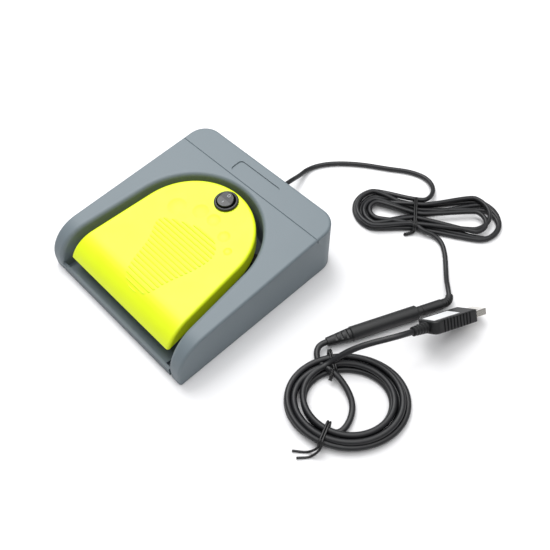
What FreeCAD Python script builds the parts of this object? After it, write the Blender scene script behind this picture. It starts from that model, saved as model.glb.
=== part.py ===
import FreeCAD, Part
import math
import os
from FreeCAD import Placement, Rotation, Vector

# A foot pedal switch with its USB lead. Millimetres and degrees, +Z up, the front towards -Y.
# The origin is the centre of the housing's footprint, on the floor.

# ---- Housing ----------------------------------------------------------------------------
HOUSING_WIDTH = 138.0
HOUSING_DEPTH = 145.0
FRONT_HEIGHT = 31.0          # top plane above the floor, at the front face
REAR_HEIGHT = 41.0           # top plane above the floor, at the rear face
FLOOR_GAP = 0.8              # the feet hold the housing this far off the floor
SHELL_WALL = 2.5
WELL_WALL = 2.0              # wall round the pedal's well
REAR_CORNER_RADIUS = 14.5
NOSE_CENTRE_HEIGHT = 7.5     # centre of the round at the front of each rail
EDGE_RADIUS = 1.8            # outer top edge
RIM_RADIUS = 3.0             # edge of the well
WELL_RADIUS = 52.0           # arch at the rear of the well
REAR_DECK_DEPTH = 25.7       # from the well's arch to the rear face
SIDE_TAPER = 5.5             # the sides of the well and pedal close towards the rear
SEAM_FROM_REAR = 21.8        # V groove across the top
SEAM_DEPTH = 0.5
LABEL_WIDTH = 41.0
LABEL_LENGTH = 11.3
LABEL_DEPTH = 0.8
LABEL_CORNER = 3.0
LABEL_FROM_REAR = 13.4       # centre of the label recess

# ---- Base -------------------------------------------------------------------------------
BASE_THICKNESS = 2.5
FIT_GAP = 0.25               # between the base and the housing
LIP_HEIGHT = 8.0             # front lip, above the floor
LIP_THICKNESS = 2.0
APRON_DEPTH = 9.0            # sloped apron behind the lip
APRON_DROP = 2.4
APRON_SIDE_GAP = 5.5         # the apron stops short of the rails
FOOT_RADIUS = 6.0
FOOT_RECESS = 1.2
FOOT_INSET = (19.0, 16.0)    # foot centres, in from the sides and from the ends
SCREW_RADIUS = 1.45
SCREW_HEAD_RADIUS = 2.8
SCREW_HEAD_HEIGHT = 1.3
SCREW_LENGTH = 10.0
BOSS_RADIUS = 3.2
RAIL_BOSS_FROM_FRONT = 28.5
RAIL_BOSS_FROM_SIDE = 6.8
DECK_BOSS_FROM_REAR = 28.5
DECK_BOSS_FROM_SIDE = 11.0
SLIP = 0.1                   # clearance of a screw or boss in its hole

# ---- Pedal ------------------------------------------------------------------------------
PEDAL_SIDE_GAP = 5.6         # pedal arch to well arch, radially
PEDAL_TOE_GAP = 4.5          # pedal to well on the centre line
PEDAL_TOE_DROP = 0.4         # pedal below the housing's top plane at the toe
PEDAL_SLOPE = 5.0
PEDAL_NOSE_RADIUS = 23.4
PEDAL_FRONT_INSET = 5.8
PEDAL_FRONT_HEIGHT = 17.4    # lower front edge above the floor
PEDAL_WALL = 2.8
PEDAL_EDGE_RADIUS = 2.0
PEDAL_TRAVEL = 4.0           # full press
PRINT_HEIGHT = 0.55          # footprint relief
PRINT_RIB_PITCH = 3.2
PRINT_RIB_WIDTH = 1.7
PRINT_FROM_FRONT = 50.0      # middle of the footprint

# ---- Hinge ------------------------------------------------------------------------------
HINGE_FROM_FRONT = 14.5
HINGE_HEIGHT = 12.0
PIN_RADIUS = 2.0
PIN_LENGTH = 97.0
RUNNING_GAP = 0.05
EAR_OUTER = 41.0             # outer face of each base ear, from the centre
EAR_THICKNESS = 5.0
EAR_RADIUS = 4.5
LUG_THICKNESS = 4.0
BUSH_WALL = 1.2
BUSH_FLANGE = 0.8
CLIP_THICKNESS = 0.6
CLIP_WIDTH = 2.4
GROOVE_DEPTH = 0.5
SIDE_PLAY = 0.2

# ---- Springs and stops ------------------------------------------------------------------
REST_WALL_LEAD = 3.5         # the rest stop stands this far in front of the hinge
REST_WALL_THICKNESS = 1.6
REST_WALL_HALF = 33.0
REST_TOP = 15.6
REST_GAP = 0.1
SPRING_X = 24.0
SPRING_FROM_REAR = 50.5
SPRING_RADIUS = 4.0          # centre of the wire
SPRING_WIRE = 1.0
SPRING_TURNS = 7
SEAT_RADIUS = 6.0
SEAT_HEIGHT = 3.0
SPIGOT_RADIUS = 3.2
SPIGOT_LENGTH = 3.5
STOP_ANGLE = 33.0            # round the pedal's arch, from the X axis
STOP_RADIUS = 4.0
STOP_PAD = 3.0
STOP_GAP = 0.35              # left between pedal and stop at full press

# ---- Microswitch under the pedal --------------------------------------------------------
MICRO_LENGTH = 19.8
MICRO_WIDTH = 6.4
MICRO_HEIGHT = 9.6
MICRO_BOTTOM = 9.0
MICRO_FROM_FRONT = 30.5      # front end of the case
MICRO_HOLE_PITCH = 9.5
MICRO_SCREW_RADIUS = 1.1
BRACKET_THICKNESS = 3.0
LEVER_WIDTH = 4.0
LEVER_THICKNESS = 0.4
LEVER_REACH = 16.0           # lever pivot to the point the pedal presses
LEVER_TILT = 10.0
PLUNGER_REACH = 6.0
PLUNGER_RADIUS = 1.0
TOUCH_GAP = 0.2

# ---- Round rocker switch in the pedal ---------------------------------------------------
ROCKER_FROM_REAR = 41.0      # centre on the pedal's top, measured along Y
BEZEL_RADIUS = 8.7
BEZEL_HEIGHT = 1.8
SWITCH_RADIUS = 7.6
SWITCH_DEPTH = 13.0
CUP_RADIUS = 6.5
CUP_DEPTH = 4.0
BUTTON_RADIUS = 6.0
BUTTON_RISE = 3.9            # rim of the button above the pedal
BUTTON_DISH = 0.9
BUTTON_PIVOT_DEPTH = 1.0
BUTTON_TILT = 6.0            # each way from level
BUTTON_AXLE_RADIUS = 1.4
BLADE_WIDTH = 3.0
BLADE_THICKNESS = 0.6
BLADE_LENGTH = 5.0
BLADE_SPREAD = 3.0

# ---- Electronics ------------------------------------------------------------------------
BOARD_SIZE = (46.0, 18.0, 1.6)
BOARD_CORNER_X = -58.0
BOARD_FROM_REAR = 22.0       # front edge of the board to the rear face
BOARD_HEIGHT = 8.0
POST_RADIUS = 2.5
HEADER_HEIGHT = 6.0
WIRE_RADIUS = 0.6
CORE_RADIUS = 0.4
CORE_PITCH = 0.85
WIRE_NOTCH = (-40.0, -23.0)  # gap in the well wall for the wires
WIRE_NOTCH_HEIGHT = 8.5

# ---- Cables -----------------------------------------------------------------------------
LEAD_RADIUS = 1.75           # first cable
USB_LEAD_RADIUS = 2.0        # second cable
EXIT_HEIGHT = 12.0
GLAND_RADIUS = 4.0
GLAND_FLANGE_RADIUS = 5.5
GLAND_SLEEVE = 11.5
GLAND_TIP_RADIUS = 2.9
LEAD_START = 7.5             # from the rear face to where the lead's free length begins
CLAMP_FROM_REAR = 10.5

# Free routes, chosen by hand, on the floor that the pedal stands on.
LEAD_ROUTE = [
    (0.0, 94.0, 12.0), (-3.2, 108.0, 5.4), (-6.0, 121.0, 1.95), (-0.5, 134.0, 1.85),
    (10.7, 146.5, 1.85), (23.8, 156.8, 1.85), (38.8, 166.0, 1.85), (52.7, 176.0, 1.85),
    (67.0, 179.6, 2.2), (78.0, 173.2, 3.6), (82.4, 163.2, 5.2), (80.6, 154.2, 6.0),
]
DROP_ROUTE = [
    (91.5, 134.0, 5.0), (98.5, 133.6, 4.6), (106.5, 137.6, 2.9), (114.6, 136.2, 1.95),
    (122.6, 129.2, 1.85), (130.4, 119.8, 1.95), (137.0, 111.4, 3.0),
]
TO_COIL_ROUTE = [
    (112.4, 6.6, 4.7), (116.0, 2.4, 4.4), (120.6, 0.1, 4.4), (131.4, 1.6, 6.6),
    (144.2, 0.2, 4.2), (154.6, -5.0, 2.8), (160.4, -14.4, 2.3), (161.6, -24.0, 2.5),
]
TO_USB_ROUTE = [
    (125.3, 2.6, 6.2), (128.7, 9.4, 12.5), (133.2, 17.1, 18.0), (139.2, 25.2, 22.5), (145.6, 33.5, 25.6),
]
LEAD_IN = 8.0                # straight run before a strain relief
SOCKET_LEAD_IN = 4.0

# Hank: two lobes and a tied waist.
HANK_LEFT = (62.3, 129.0)
HANK_RIGHT = (116.5, 170.0)
HANK_LOBE_RADIUS = 22.0
HANK_WAIST_WIDTH = 28.5
HANK_WAIST_SHIFT = -3.2      # the waist lies to one side of the line between the lobes
HANK_HEIGHT = 8.5
HANK_TIE_SHARE = 0.37        # of the way from the left lobe to the right one
TIE_WIDTH = 2.2
TIE_THICKNESS = 1.2

# Coil: a flat oval ring.
COIL_CENTRE = (149.6, -5.5)
COIL_TURN = 46.0             # direction of its long axis
COIL_LONG = 40.0
COIL_SHORT = 33.8
COIL_RING = 15.0
COIL_HEIGHT = 10.0
COIL_TIES = (104.0, 242.0)   # round the oval, from its long axis

# Inline connector: a socket barrel on the second cable, a plug on the first.
INLINE_START = (120.1, 29.8)
INLINE_TURN = -23.95         # from +Y
SOCKET_RADIUS = 5.0
SOCKET_LENGTH = 49.0
SOCKET_RELIEF = 16.5
PLUG_RADIUS = 3.6
PLUG_LENGTH = 18.5
JACK_RADIUS = 1.75
JACK_LENGTH = 14.0
BENT_RELIEF_START = 2.0
BENT_RELIEF_RADIUS = 6.5
BENT_RELIEF_TURN = 69.0

# USB plug, tipped and rolled as it lies.
USB_START = (152.9, 48.9, 24.9)
USB_TURN = -15.3
USB_PITCH = -18.5
USB_ROLL = -43.0
USB_BODY = (17.2, 37.5, 8.6)
USB_BODY_EDGE = 1.2
USB_RELIEF = 12.0
USB_SHELL = (12.0, 12.0, 4.5)
USB_SHELL_WALL = 0.35
USB_SHELL_ROOT = 6.0         # length held inside the body
USB_RIBS = 9
USB_RIB_PITCH = 2.9
USB_LABEL = (10.4, 23.0, 0.2)

FAR = 400.0                  # larger than anything here

# ---- Worked out from the above ----------------------------------------------------------
HALF_WIDTH = HOUSING_WIDTH / 2
FRONT_Y = -HOUSING_DEPTH / 2
REAR_Y = HOUSING_DEPTH / 2
TOP_SLOPE = (REAR_HEIGHT - FRONT_HEIGHT) / HOUSING_DEPTH
TOP_ANGLE = math.degrees(math.atan(TOP_SLOPE))
TAPER = math.radians(SIDE_TAPER)
WELL_Y = REAR_Y - REAR_DECK_DEPTH - WELL_RADIUS
PEDAL_RADIUS = WELL_RADIUS - PEDAL_SIDE_GAP
PEDAL_Y = REAR_Y - REAR_DECK_DEPTH - PEDAL_TOE_GAP - PEDAL_RADIUS
TOE_Y = PEDAL_Y + PEDAL_RADIUS
BASE_TOP = FLOOR_GAP + BASE_THICKNESS
HINGE_Y = FRONT_Y + HINGE_FROM_FRONT
SPRING_Y = REAR_Y - SPRING_FROM_REAR
ROCKER_Y = REAR_Y - ROCKER_FROM_REAR
MICRO_FRONT = FRONT_Y + MICRO_FROM_FRONT
BOARD_FRONT = REAR_Y - BOARD_FROM_REAR
BOARD_TOP = BOARD_HEIGHT + BOARD_SIZE[2]


def housing_top(y):
    """Height of the housing's top plane."""
    return FRONT_HEIGHT + TOP_SLOPE * (y - FRONT_Y)


def pedal_top(y):
    """Height of the pedal's top plane."""
    toe = housing_top(TOE_Y) - PEDAL_TOE_DROP
    return toe + math.tan(math.radians(PEDAL_SLOPE)) * (y - TOE_Y)


def pedal_under(y):
    """Height of the pedal's inner face under its top plane."""
    return pedal_top(y) - PEDAL_WALL / math.cos(math.radians(PEDAL_SLOPE))


def box(x0, x1, y0, y1, z0, z1):
    return Part.makeBox(x1 - x0, y1 - y0, z1 - z0, Vector(x0, y0, z0))


def rod(start, axis, radius, length):
    return Part.makeCylinder(radius, length, Vector(*start), Vector(*axis))


def cone(start, axis, radius_a, radius_b, length):
    return Part.makeCone(radius_a, radius_b, length, Vector(*start), Vector(*axis))


def fuse(shapes):
    """One shape from several that overlap."""
    return shapes[0].multiFuse(shapes[1:]).removeSplitter()


def both_sides(shape):
    """The shape and its mirror image in the YZ plane."""
    return [shape, shape.mirror(Vector(0, 0, 0), Vector(1, 0, 0))]


def prism_x(edges, half_width=FAR):
    """Solid from a closed outline in a YZ plane, equally wide each side of the centre."""
    face = Part.Face(Part.Wire(edges))
    face.translate(Vector(-half_width, 0, 0))
    return face.extrude(Vector(2 * half_width, 0, 0))


def yz(y, z):
    return Vector(0, y, z)


def polygon_x(points, x0, x1):
    """Solid from a polygon of (y, z) points, from x0 to x1."""
    corners = [Vector(x0, y, z) for y, z in points]
    face = Part.Face(Part.makePolygon(corners + corners[:1]))
    return face.extrude(Vector(x1 - x0, 0, 0))


def horseshoe(radius, centre_y, bottom=-FAR):
    """Tapered horseshoe prism, open-ended far beyond the front."""
    lean = Vector(math.cos(TAPER), math.sin(TAPER), 0)
    centre = Vector(0, centre_y, bottom)
    right = centre + lean * radius
    left = Vector(-right.x, right.y, bottom)
    reach = right.y + FAR
    front_right = Vector(right.x + reach * math.tan(TAPER), -FAR, bottom)
    front_left = Vector(-front_right.x, -FAR, bottom)
    arch = Part.Arc(right, Vector(0, centre_y + radius, bottom), left).toShape()
    edges = [
        Part.LineSegment(front_left, front_right).toShape(),
        Part.LineSegment(front_right, right).toShape(),
        arch,
        Part.LineSegment(left, front_left).toShape(),
    ]
    return Part.Face(Part.Wire(edges)).extrude(Vector(0, 0, 2 * FAR))


def horseshoe_half_width(radius, centre_y, y):
    """Half width of a horseshoe's straight sides at y."""
    return radius / math.cos(TAPER) + (centre_y - y) * math.tan(TAPER)


def plan_block(inset, bottom, top):
    """Housing footprint, inset, with its rounded rear corners."""
    half = HALF_WIDTH - inset
    block = box(-half, half, FRONT_Y + inset, REAR_Y - inset, bottom, top)
    radius = REAR_CORNER_RADIUS - inset
    corners = [e for e in block.Edges
               if abs(e.tangentAt(e.FirstParameter).z) > 0.9 and e.CenterOfMass.y > 0]
    return block.makeFillet(radius, corners)


def wedge(inset, bottom):
    """Housing side profile, inset, as wide as the plan block."""
    lean = math.radians(TOP_ANGLE)
    height = FRONT_HEIGHT - NOSE_CENTRE_HEIGHT
    nose = height * math.cos(lean) / (1 - math.sin(lean))
    centre = yz(FRONT_Y + nose, NOSE_CENTRE_HEIGHT)
    radius = nose - inset
    middle = math.radians((90 + TOP_ANGLE + 180) / 2)
    tangent = centre + yz(-math.sin(lean), math.cos(lean)) * radius
    rear = REAR_Y - inset
    rear_top = tangent.z + TOP_SLOPE * (rear - tangent.y)
    front = centre + yz(-radius, 0)
    points = [yz(rear, rear_top), yz(rear, bottom), yz(front.y, bottom), front]
    edges = [Part.LineSegment(tangent, points[0]).toShape()]
    edges += [Part.LineSegment(a, b).toShape() for a, b in zip(points, points[1:])]
    bulge = centre + yz(math.cos(middle), math.sin(middle)) * radius
    edges.append(Part.Arc(front, bulge, tangent).toShape())
    return prism_x(edges)


# ---- Housing and base -------------------------------------------------------------------
def boss_centres():
    """Screw boss centres: two in the rails, two beside the rear deck."""
    rail_x = HALF_WIDTH - RAIL_BOSS_FROM_SIDE
    deck_x = HALF_WIDTH - DECK_BOSS_FROM_SIDE
    rail_y = FRONT_Y + RAIL_BOSS_FROM_FRONT
    deck_y = REAR_Y - DECK_BOSS_FROM_REAR
    return [(-rail_x, rail_y), (rail_x, rail_y), (-deck_x, deck_y), (deck_x, deck_y)]


def foot_centres():
    foot_x = HALF_WIDTH - FOOT_INSET[0]
    foot_y = HOUSING_DEPTH / 2 - FOOT_INSET[1]
    return [(sx * foot_x, sy * foot_y) for sx in (-1, 1) for sy in (-1, 1)]


def rim_edges(solid):
    """Edges where the well meets the top plane and the rails' rounds."""
    edges = []
    for edge in solid.Edges:
        middle = edge.valueAt((edge.FirstParameter + edge.LastParameter) / 2)
        if middle.z < NOSE_CENTRE_HEIGHT or abs(middle.x) > HALF_WIDTH - EDGE_RADIUS - 1:
            continue
        straight = abs(abs(middle.x) - horseshoe_half_width(WELL_RADIUS, WELL_Y, middle.y)) < 0.1
        arched = abs(math.hypot(middle.x, middle.y - WELL_Y) - WELL_RADIUS) < 0.1
        across = abs(edge.tangentAt(edge.FirstParameter).z) < 0.999
        if (straight or arched) and across and not inside_well_corner(edge):
            edges.append(edge)
    return edges


def inside_well_corner(edge):
    """True for the upright edges where the well's sides meet its arch."""
    return abs(edge.tangentAt(edge.FirstParameter).z) > 0.999


def top_outer_edges(solid):
    """Edges round the outside of the top, from rail front to rail front."""
    edges = []
    for edge in solid.Edges:
        middle = edge.valueAt((edge.FirstParameter + edge.LastParameter) / 2)
        upright = abs(edge.tangentAt(edge.FirstParameter).z) > 0.999
        if middle.z > NOSE_CENTRE_HEIGHT and not (upright and edge.Curve.TypeId == "Part::GeomLine"):
            if abs(middle.x) > HALF_WIDTH - 0.01 or middle.y > REAR_Y - REAR_CORNER_RADIUS:
                edges.append(edge)
    return edges


def tilted(shape, y, z, angle):
    """Shape moved from the origin to (0, y, z) and tipped up about X."""
    moved = shape.copy()
    moved.Placement = Placement(Vector(0, y, z), Rotation(Vector(1, 0, 0), angle))
    return moved


def label_recess():
    y = REAR_Y - LABEL_FROM_REAR
    block = box(-LABEL_WIDTH / 2, LABEL_WIDTH / 2, -LABEL_LENGTH / 2, LABEL_LENGTH / 2,
                -LABEL_DEPTH, LABEL_DEPTH)
    corners = [e for e in block.Edges if abs(e.tangentAt(0).z) > 0.9]
    return tilted(block.makeFillet(LABEL_CORNER, corners), y, housing_top(y), TOP_ANGLE)


def seam_groove():
    """V groove across the top, with a small notch where it meets each side."""
    y = REAR_Y - SEAM_FROM_REAR
    groove = polygon_x([(-SEAM_DEPTH, 0.1), (0, -SEAM_DEPTH), (SEAM_DEPTH, 0.1)], -FAR, FAR)
    notch_x = HALF_WIDTH - 0.4
    notch = box(notch_x, FAR, -SEAM_DEPTH, SEAM_DEPTH, -3.5, 1.0)
    return [tilted(part, y, housing_top(y), TOP_ANGLE) for part in [groove] + both_sides(notch)]


def top_housing():
    body = wedge(0, FLOOR_GAP).common(plan_block(0, 0, FAR))
    body = body.makeFillet(EDGE_RADIUS, top_outer_edges(body))
    body = body.cut(horseshoe(WELL_RADIUS, WELL_Y))
    body = body.makeFillet(RIM_RADIUS, rim_edges(body))
    hollow = wedge(SHELL_WALL, -FAR).common(plan_block(SHELL_WALL, -FAR, FAR))
    hollow = hollow.cut(horseshoe(WELL_RADIUS + WELL_WALL, WELL_Y))
    body = body.cut(hollow)
    body = body.cut(plan_block(SHELL_WALL, -1, BASE_TOP + SLIP))
    bosses = []
    for x, y in boss_centres():
        top = housing_top(y) - SHELL_WALL / 2
        bosses.append(rod((x, y, BASE_TOP + SLIP), (0, 0, 1), BOSS_RADIUS, top - BASE_TOP - SLIP))
    body = fuse([body] + bosses)
    cuts = [rod((x, y, 0), (0, 0, 1), SCREW_RADIUS + SLIP, FLOOR_GAP + SCREW_LENGTH + 1)
            for x, y in boss_centres()]
    cuts.append(rod((0, REAR_Y - 2 * SHELL_WALL, EXIT_HEIGHT), (0, 1, 0), GLAND_RADIUS + SLIP, FAR))
    cuts.append(box(WIRE_NOTCH[0], WIRE_NOTCH[1], WELL_Y + WELL_RADIUS / 2, BOARD_FRONT - 1,
                    0, WIRE_NOTCH_HEIGHT))
    cuts.append(label_recess())
    return body.cut(Part.makeCompound(cuts + seam_groove()))


def base_plate():
    plate = plan_block(SHELL_WALL + FIT_GAP, FLOOR_GAP, BASE_TOP)
    mouth = horseshoe(WELL_RADIUS - FIT_GAP, WELL_Y)
    tongue = box(-FAR, FAR, FRONT_Y, HINGE_Y, FLOOR_GAP, BASE_TOP).common(mouth)
    lip = box(-FAR, FAR, FRONT_Y, FRONT_Y + LIP_THICKNESS, FLOOR_GAP, LIP_HEIGHT).common(mouth)
    lip_inner = FRONT_Y + LIP_THICKNESS
    apron_half = horseshoe_half_width(WELL_RADIUS, WELL_Y, lip_inner) - APRON_SIDE_GAP
    apron = polygon_x(
        [(lip_inner - 0.5, BASE_TOP - 1), (lip_inner - 0.5, LIP_HEIGHT - 0.8),
         (lip_inner + APRON_DEPTH, LIP_HEIGHT - APRON_DROP), (lip_inner + APRON_DEPTH, BASE_TOP - 1)],
        -apron_half, apron_half)
    pieces = [plate, tongue, lip, apron, rest_wall()] + hinge_ears() + spring_seats() + stop_posts()
    pieces += [micro_bracket()] + board_posts() + clamp_posts()
    body = fuse(pieces)
    cuts = [rod((x, y, -1), (0, 0, 1), FOOT_RADIUS + SLIP, 1 + FLOOR_GAP + FOOT_RECESS)
            for x, y in foot_centres()]
    for x, y in boss_centres():
        cuts.append(rod((x, y, -1), (0, 0, 1), SCREW_RADIUS + 2 * SLIP, BASE_TOP + 2))
        cuts.append(rod((x, y, -1), (0, 0, 1), SCREW_HEAD_RADIUS + 2 * SLIP,
                        1 + FLOOR_GAP + SCREW_HEAD_HEIGHT + SLIP))
    cuts.append(rod((-FAR / 2, HINGE_Y, HINGE_HEIGHT), (1, 0, 0), PIN_RADIUS + RUNNING_GAP / 2, FAR))
    return body.cut(Part.makeCompound(cuts))


def hinge_ears():
    half = EAR_RADIUS + 1.0
    plate = box(EAR_OUTER - EAR_THICKNESS, EAR_OUTER, HINGE_Y - half, HINGE_Y + half,
                BASE_TOP - 1, HINGE_HEIGHT)
    head = rod((EAR_OUTER - EAR_THICKNESS, HINGE_Y, HINGE_HEIGHT), (1, 0, 0), half, EAR_THICKNESS)
    return both_sides(plate.fuse(head).removeSplitter())


def rest_wall():
    """Cross wall that the pedal's front rib rests on when nothing presses it."""
    y = HINGE_Y - REST_WALL_LEAD
    return box(-REST_WALL_HALF, REST_WALL_HALF, y - REST_WALL_THICKNESS / 2, y + REST_WALL_THICKNESS / 2,
               BASE_TOP - 1, REST_TOP)


def spring_seats():
    seat = rod((SPRING_X, SPRING_Y, BASE_TOP - 1), (0, 0, 1), SEAT_RADIUS, SEAT_HEIGHT + 1)
    spigot = rod((SPRING_X, SPRING_Y, BASE_TOP), (0, 0, 1), SPIGOT_RADIUS, SEAT_HEIGHT + SPIGOT_LENGTH)
    return both_sides(seat.fuse(spigot).removeSplitter())


def stop_place():
    """Stop centre under the pedal's skirt, and the height of its pad's top."""
    reach = PEDAL_RADIUS - PEDAL_WALL / 2
    angle = math.radians(STOP_ANGLE)
    x, y = reach * math.cos(angle), PEDAL_Y + reach * math.sin(angle)
    low = y - STOP_RADIUS - HINGE_Y
    skirt = pedal_bottom(y - STOP_RADIUS)
    press = math.radians(PEDAL_TRAVEL)
    pressed = HINGE_HEIGHT + (skirt - HINGE_HEIGHT) * math.cos(press) - low * math.sin(press)
    return x, y, pressed - STOP_GAP


def stop_posts():
    x, y, top = stop_place()
    post = rod((x, y, BASE_TOP - 1), (0, 0, 1), STOP_RADIUS, top - STOP_PAD - BASE_TOP + 1)
    return both_sides(post)


def stop_bumpers():
    x, y, top = stop_place()
    return Part.makeCompound(both_sides(rod((x, y, top - STOP_PAD), (0, 0, 1), STOP_RADIUS, STOP_PAD)))


def rubber_feet():
    height = FLOOR_GAP + FOOT_RECESS
    return Part.makeCompound([rod((x, y, 0), (0, 0, 1), FOOT_RADIUS, height) for x, y in foot_centres()])


def self_tapper(x, y, z, up, radius, head_radius, head_height, length):
    """Pan screw whose head's seat is at z, driven along up (+1 or -1)."""
    head = rod((x, y, z - up * head_height), (0, 0, up), head_radius, head_height)
    shank = rod((x, y, z), (0, 0, up), radius, length)
    slot = box(x - 0.4, x + 0.4, y - head_radius, y + head_radius, z - up * head_height - 0.5,
               z - up * head_height + 0.5)
    return head.fuse(shank).removeSplitter().cut(slot)


def base_screws():
    seat = FLOOR_GAP + SCREW_HEAD_HEIGHT + SLIP
    return Part.makeCompound([
        self_tapper(x, y, seat, 1, SCREW_RADIUS, SCREW_HEAD_RADIUS, SCREW_HEAD_HEIGHT, SCREW_LENGTH - 2)
        for x, y in boss_centres()])


# ---- Pedal ------------------------------------------------------------------------------
def pedal_front():
    return yz(FRONT_Y + PEDAL_FRONT_INSET, PEDAL_FRONT_HEIGHT)


def pedal_bottom(y):
    """Height of the skirt's lower edge."""
    front = pedal_front()
    return front.z + math.tan(math.radians(PEDAL_SLOPE)) * (y - front.y)


def pedal_nose_centre():
    """Centre of the round that is tangent to the top plane and ends at the front edge."""
    lean = math.radians(PEDAL_SLOPE)
    along, up = yz(math.cos(lean), math.sin(lean)), yz(-math.sin(lean), math.cos(lean))
    front = pedal_front()
    offset = yz(front.y, pedal_top(front.y)) - up * PEDAL_NOSE_RADIUS - front
    share = offset.dot(along)
    step = -share + math.sqrt(share ** 2 - offset.dot(offset) + PEDAL_NOSE_RADIUS ** 2)
    return front + offset + along * step


def pedal_profile(inset, closed_front):
    """Side profile of the pedal as a wide prism; inset gives the space inside it."""
    lean = math.radians(PEDAL_SLOPE)
    centre = pedal_nose_centre()
    radius = PEDAL_NOSE_RADIUS - inset
    up = yz(-math.sin(lean), math.cos(lean))
    tangent = centre + up * radius
    rear = yz(FAR, tangent.z + math.tan(lean) * (FAR - tangent.y))
    front = pedal_front() if closed_front else centre - yz(radius, 0)
    begin = math.atan2(front.z - centre.z, front.y - centre.y)
    end = math.atan2(up.z, up.y)
    middle = (begin + end) / 2
    bulge = centre + yz(math.cos(middle), math.sin(middle)) * radius
    if closed_front:
        low = [yz(FAR, pedal_bottom(FAR)), front]
    else:
        low = [yz(FAR, -FAR), yz(front.y, -FAR), front]
    points = [tangent, rear] + low
    edges = [Part.LineSegment(a, b).toShape() for a, b in zip(points, points[1:])]
    edges.append(Part.Arc(front, bulge, tangent).toShape())
    return prism_x(edges)


def pedal_top_edges(solid):
    """Upper outer edges of the solid pedal blank, and its short front corners."""
    edges = []
    for edge in solid.Edges:
        middle = edge.valueAt((edge.FirstParameter + edge.LastParameter) / 2)
        upright = abs(edge.tangentAt(edge.FirstParameter).z) > 0.98
        above = middle.z > pedal_bottom(middle.y) + 0.5
        across = abs(edge.tangentAt(edge.FirstParameter).x) > 0.98 and abs(middle.x) < 0.1
        seam = edge.Length < 0.01
        if above and not upright and not seam and not (across and middle.y < PEDAL_Y):
            edges.append(edge)
    return edges


def on_pedal(shape, x, y):
    """Shape moved from the origin onto the pedal's top plane, its Z along the plane's normal."""
    moved = shape.copy()
    place = Placement(Vector(x, y, pedal_top(y)), Rotation(Vector(1, 0, 0), PEDAL_SLOPE))
    moved.Placement = place.multiply(moved.Placement)
    return moved


def on_surface(shape, y):
    """Shape from the origin onto the pedal's top at y, following the round at its front."""
    lean = math.radians(PEDAL_SLOPE)
    centre = pedal_nose_centre()
    tangent = centre.y - PEDAL_NOSE_RADIUS * math.sin(lean)
    past = (tangent - y) / math.cos(lean)
    if past <= 0:
        return on_pedal(shape, 0, y)
    moved = on_pedal(shape, 0, tangent)
    moved.rotate(centre, Vector(1, 0, 0), math.degrees(past / PEDAL_NOSE_RADIUS))
    return moved


def sole_outline():
    """Outline of the foot's sole, about the print's centre."""
    points = [(7.3, -35), (-5.5, -30.1), (-11.3, -17.3), (-15.1, -4.5), (-21.8, 7.3), (-23.7, 12.2),
              (-17.7, 18), (-1.8, 24.9), (12.5, 27.8), (26.8, 18.5), (27.1, 7.3), (23.5, -6.5),
              (19.4, -20.2), (17.3, -29.1)]
    curve = Part.BSplineCurve()
    curve.interpolate([Vector(x, y, -2) for x, y in points], PeriodicFlag=True)
    return Part.Face(Part.Wire(curve.toShape())).extrude(Vector(0, 0, 4))


def foot_print():
    """Raised sole ribs and toe pads, sunk a little into the pedal so that they join it."""
    y0 = FRONT_Y + PRINT_FROM_FRONT
    half = PRINT_RIB_WIDTH / 2
    radius = (half ** 2 + PRINT_HEIGHT ** 2) / (2 * PRINT_HEIGHT)
    rib = rod((-FAR / 4, 0, PRINT_HEIGHT - radius), (1, 0, 0), radius, FAR / 2)
    sole, parts = sole_outline(), []
    for i in range(-11, 9):
        y = i * PRINT_RIB_PITCH
        sole_here = sole.copy()
        sole_here.translate(Vector(0, -y, 0))
        parts.append(on_surface(sole_here.common(rib), y0 + y))
    toes = [(-23, 28.3, 6.8), (-7.2, 36.6, 5.8), (5.1, 37.7, 4.9), (20.6, 33.1, 4.4), (31.4, 26.7, 3.0)]
    for x, y, pad in toes:
        dome = (pad ** 2 + PRINT_HEIGHT ** 2) / (2 * PRINT_HEIGHT)
        ball = Part.makeSphere(dome, Vector(0, 0, PRINT_HEIGHT - dome))
        cap = ball.common(rod((0, 0, -PRINT_HEIGHT), (0, 0, 1), pad + 1, 2 * PRINT_HEIGHT))
        parts.append(on_pedal(cap, x, y0 + y))
    return parts


def pedal_lugs():
    """Hinge lugs inside the pedal's sides."""
    inner = EAR_OUTER + BUSH_FLANGE + SIDE_PLAY
    radius = PIN_RADIUS + BUSH_WALL + 2.5
    head = rod((inner, HINGE_Y, HINGE_HEIGHT), (1, 0, 0), radius, LUG_THICKNESS)
    web = box(inner, inner + LUG_THICKNESS, HINGE_Y - radius, HINGE_Y + radius, HINGE_HEIGHT,
              pedal_top(HINGE_Y))
    return both_sides(head.fuse(web).removeSplitter())


def pedal_underside():
    """Spring seats, actuator post and ribs under the pedal's top."""
    seat_z = spring_top()
    seat = rod((SPRING_X, SPRING_Y, seat_z), (0, 0, 1), SEAT_RADIUS, PEDAL_WALL + 2)
    spigot = rod((SPRING_X, SPRING_Y, seat_z - SPIGOT_LENGTH), (0, 0, 1), SPIGOT_RADIUS, SPIGOT_LENGTH + 1)
    y = lever_touch().y
    foot = lever_touch().z + TOUCH_GAP
    post = rod((0, y, foot), (0, 0, 1), 2.5, pedal_under(y) - foot + PEDAL_WALL / 2)
    rear = ROCKER_Y - SWITCH_RADIUS - 4
    rib = box(13.0, 15.0, HINGE_Y + 8, rear, 0, FAR).cut(
        tilted(box(-FAR, FAR, -FAR, FAR, -FAR, 0), 0, pedal_under(0) - 5.0, PEDAL_SLOPE))
    y = HINGE_Y - REST_WALL_LEAD
    rest = box(-REST_WALL_HALF, REST_WALL_HALF, y - 1, y + 1, REST_TOP + REST_GAP, pedal_top(y))
    return both_sides(seat) + both_sides(spigot) + [post, rest] + both_sides(rib)


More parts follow.
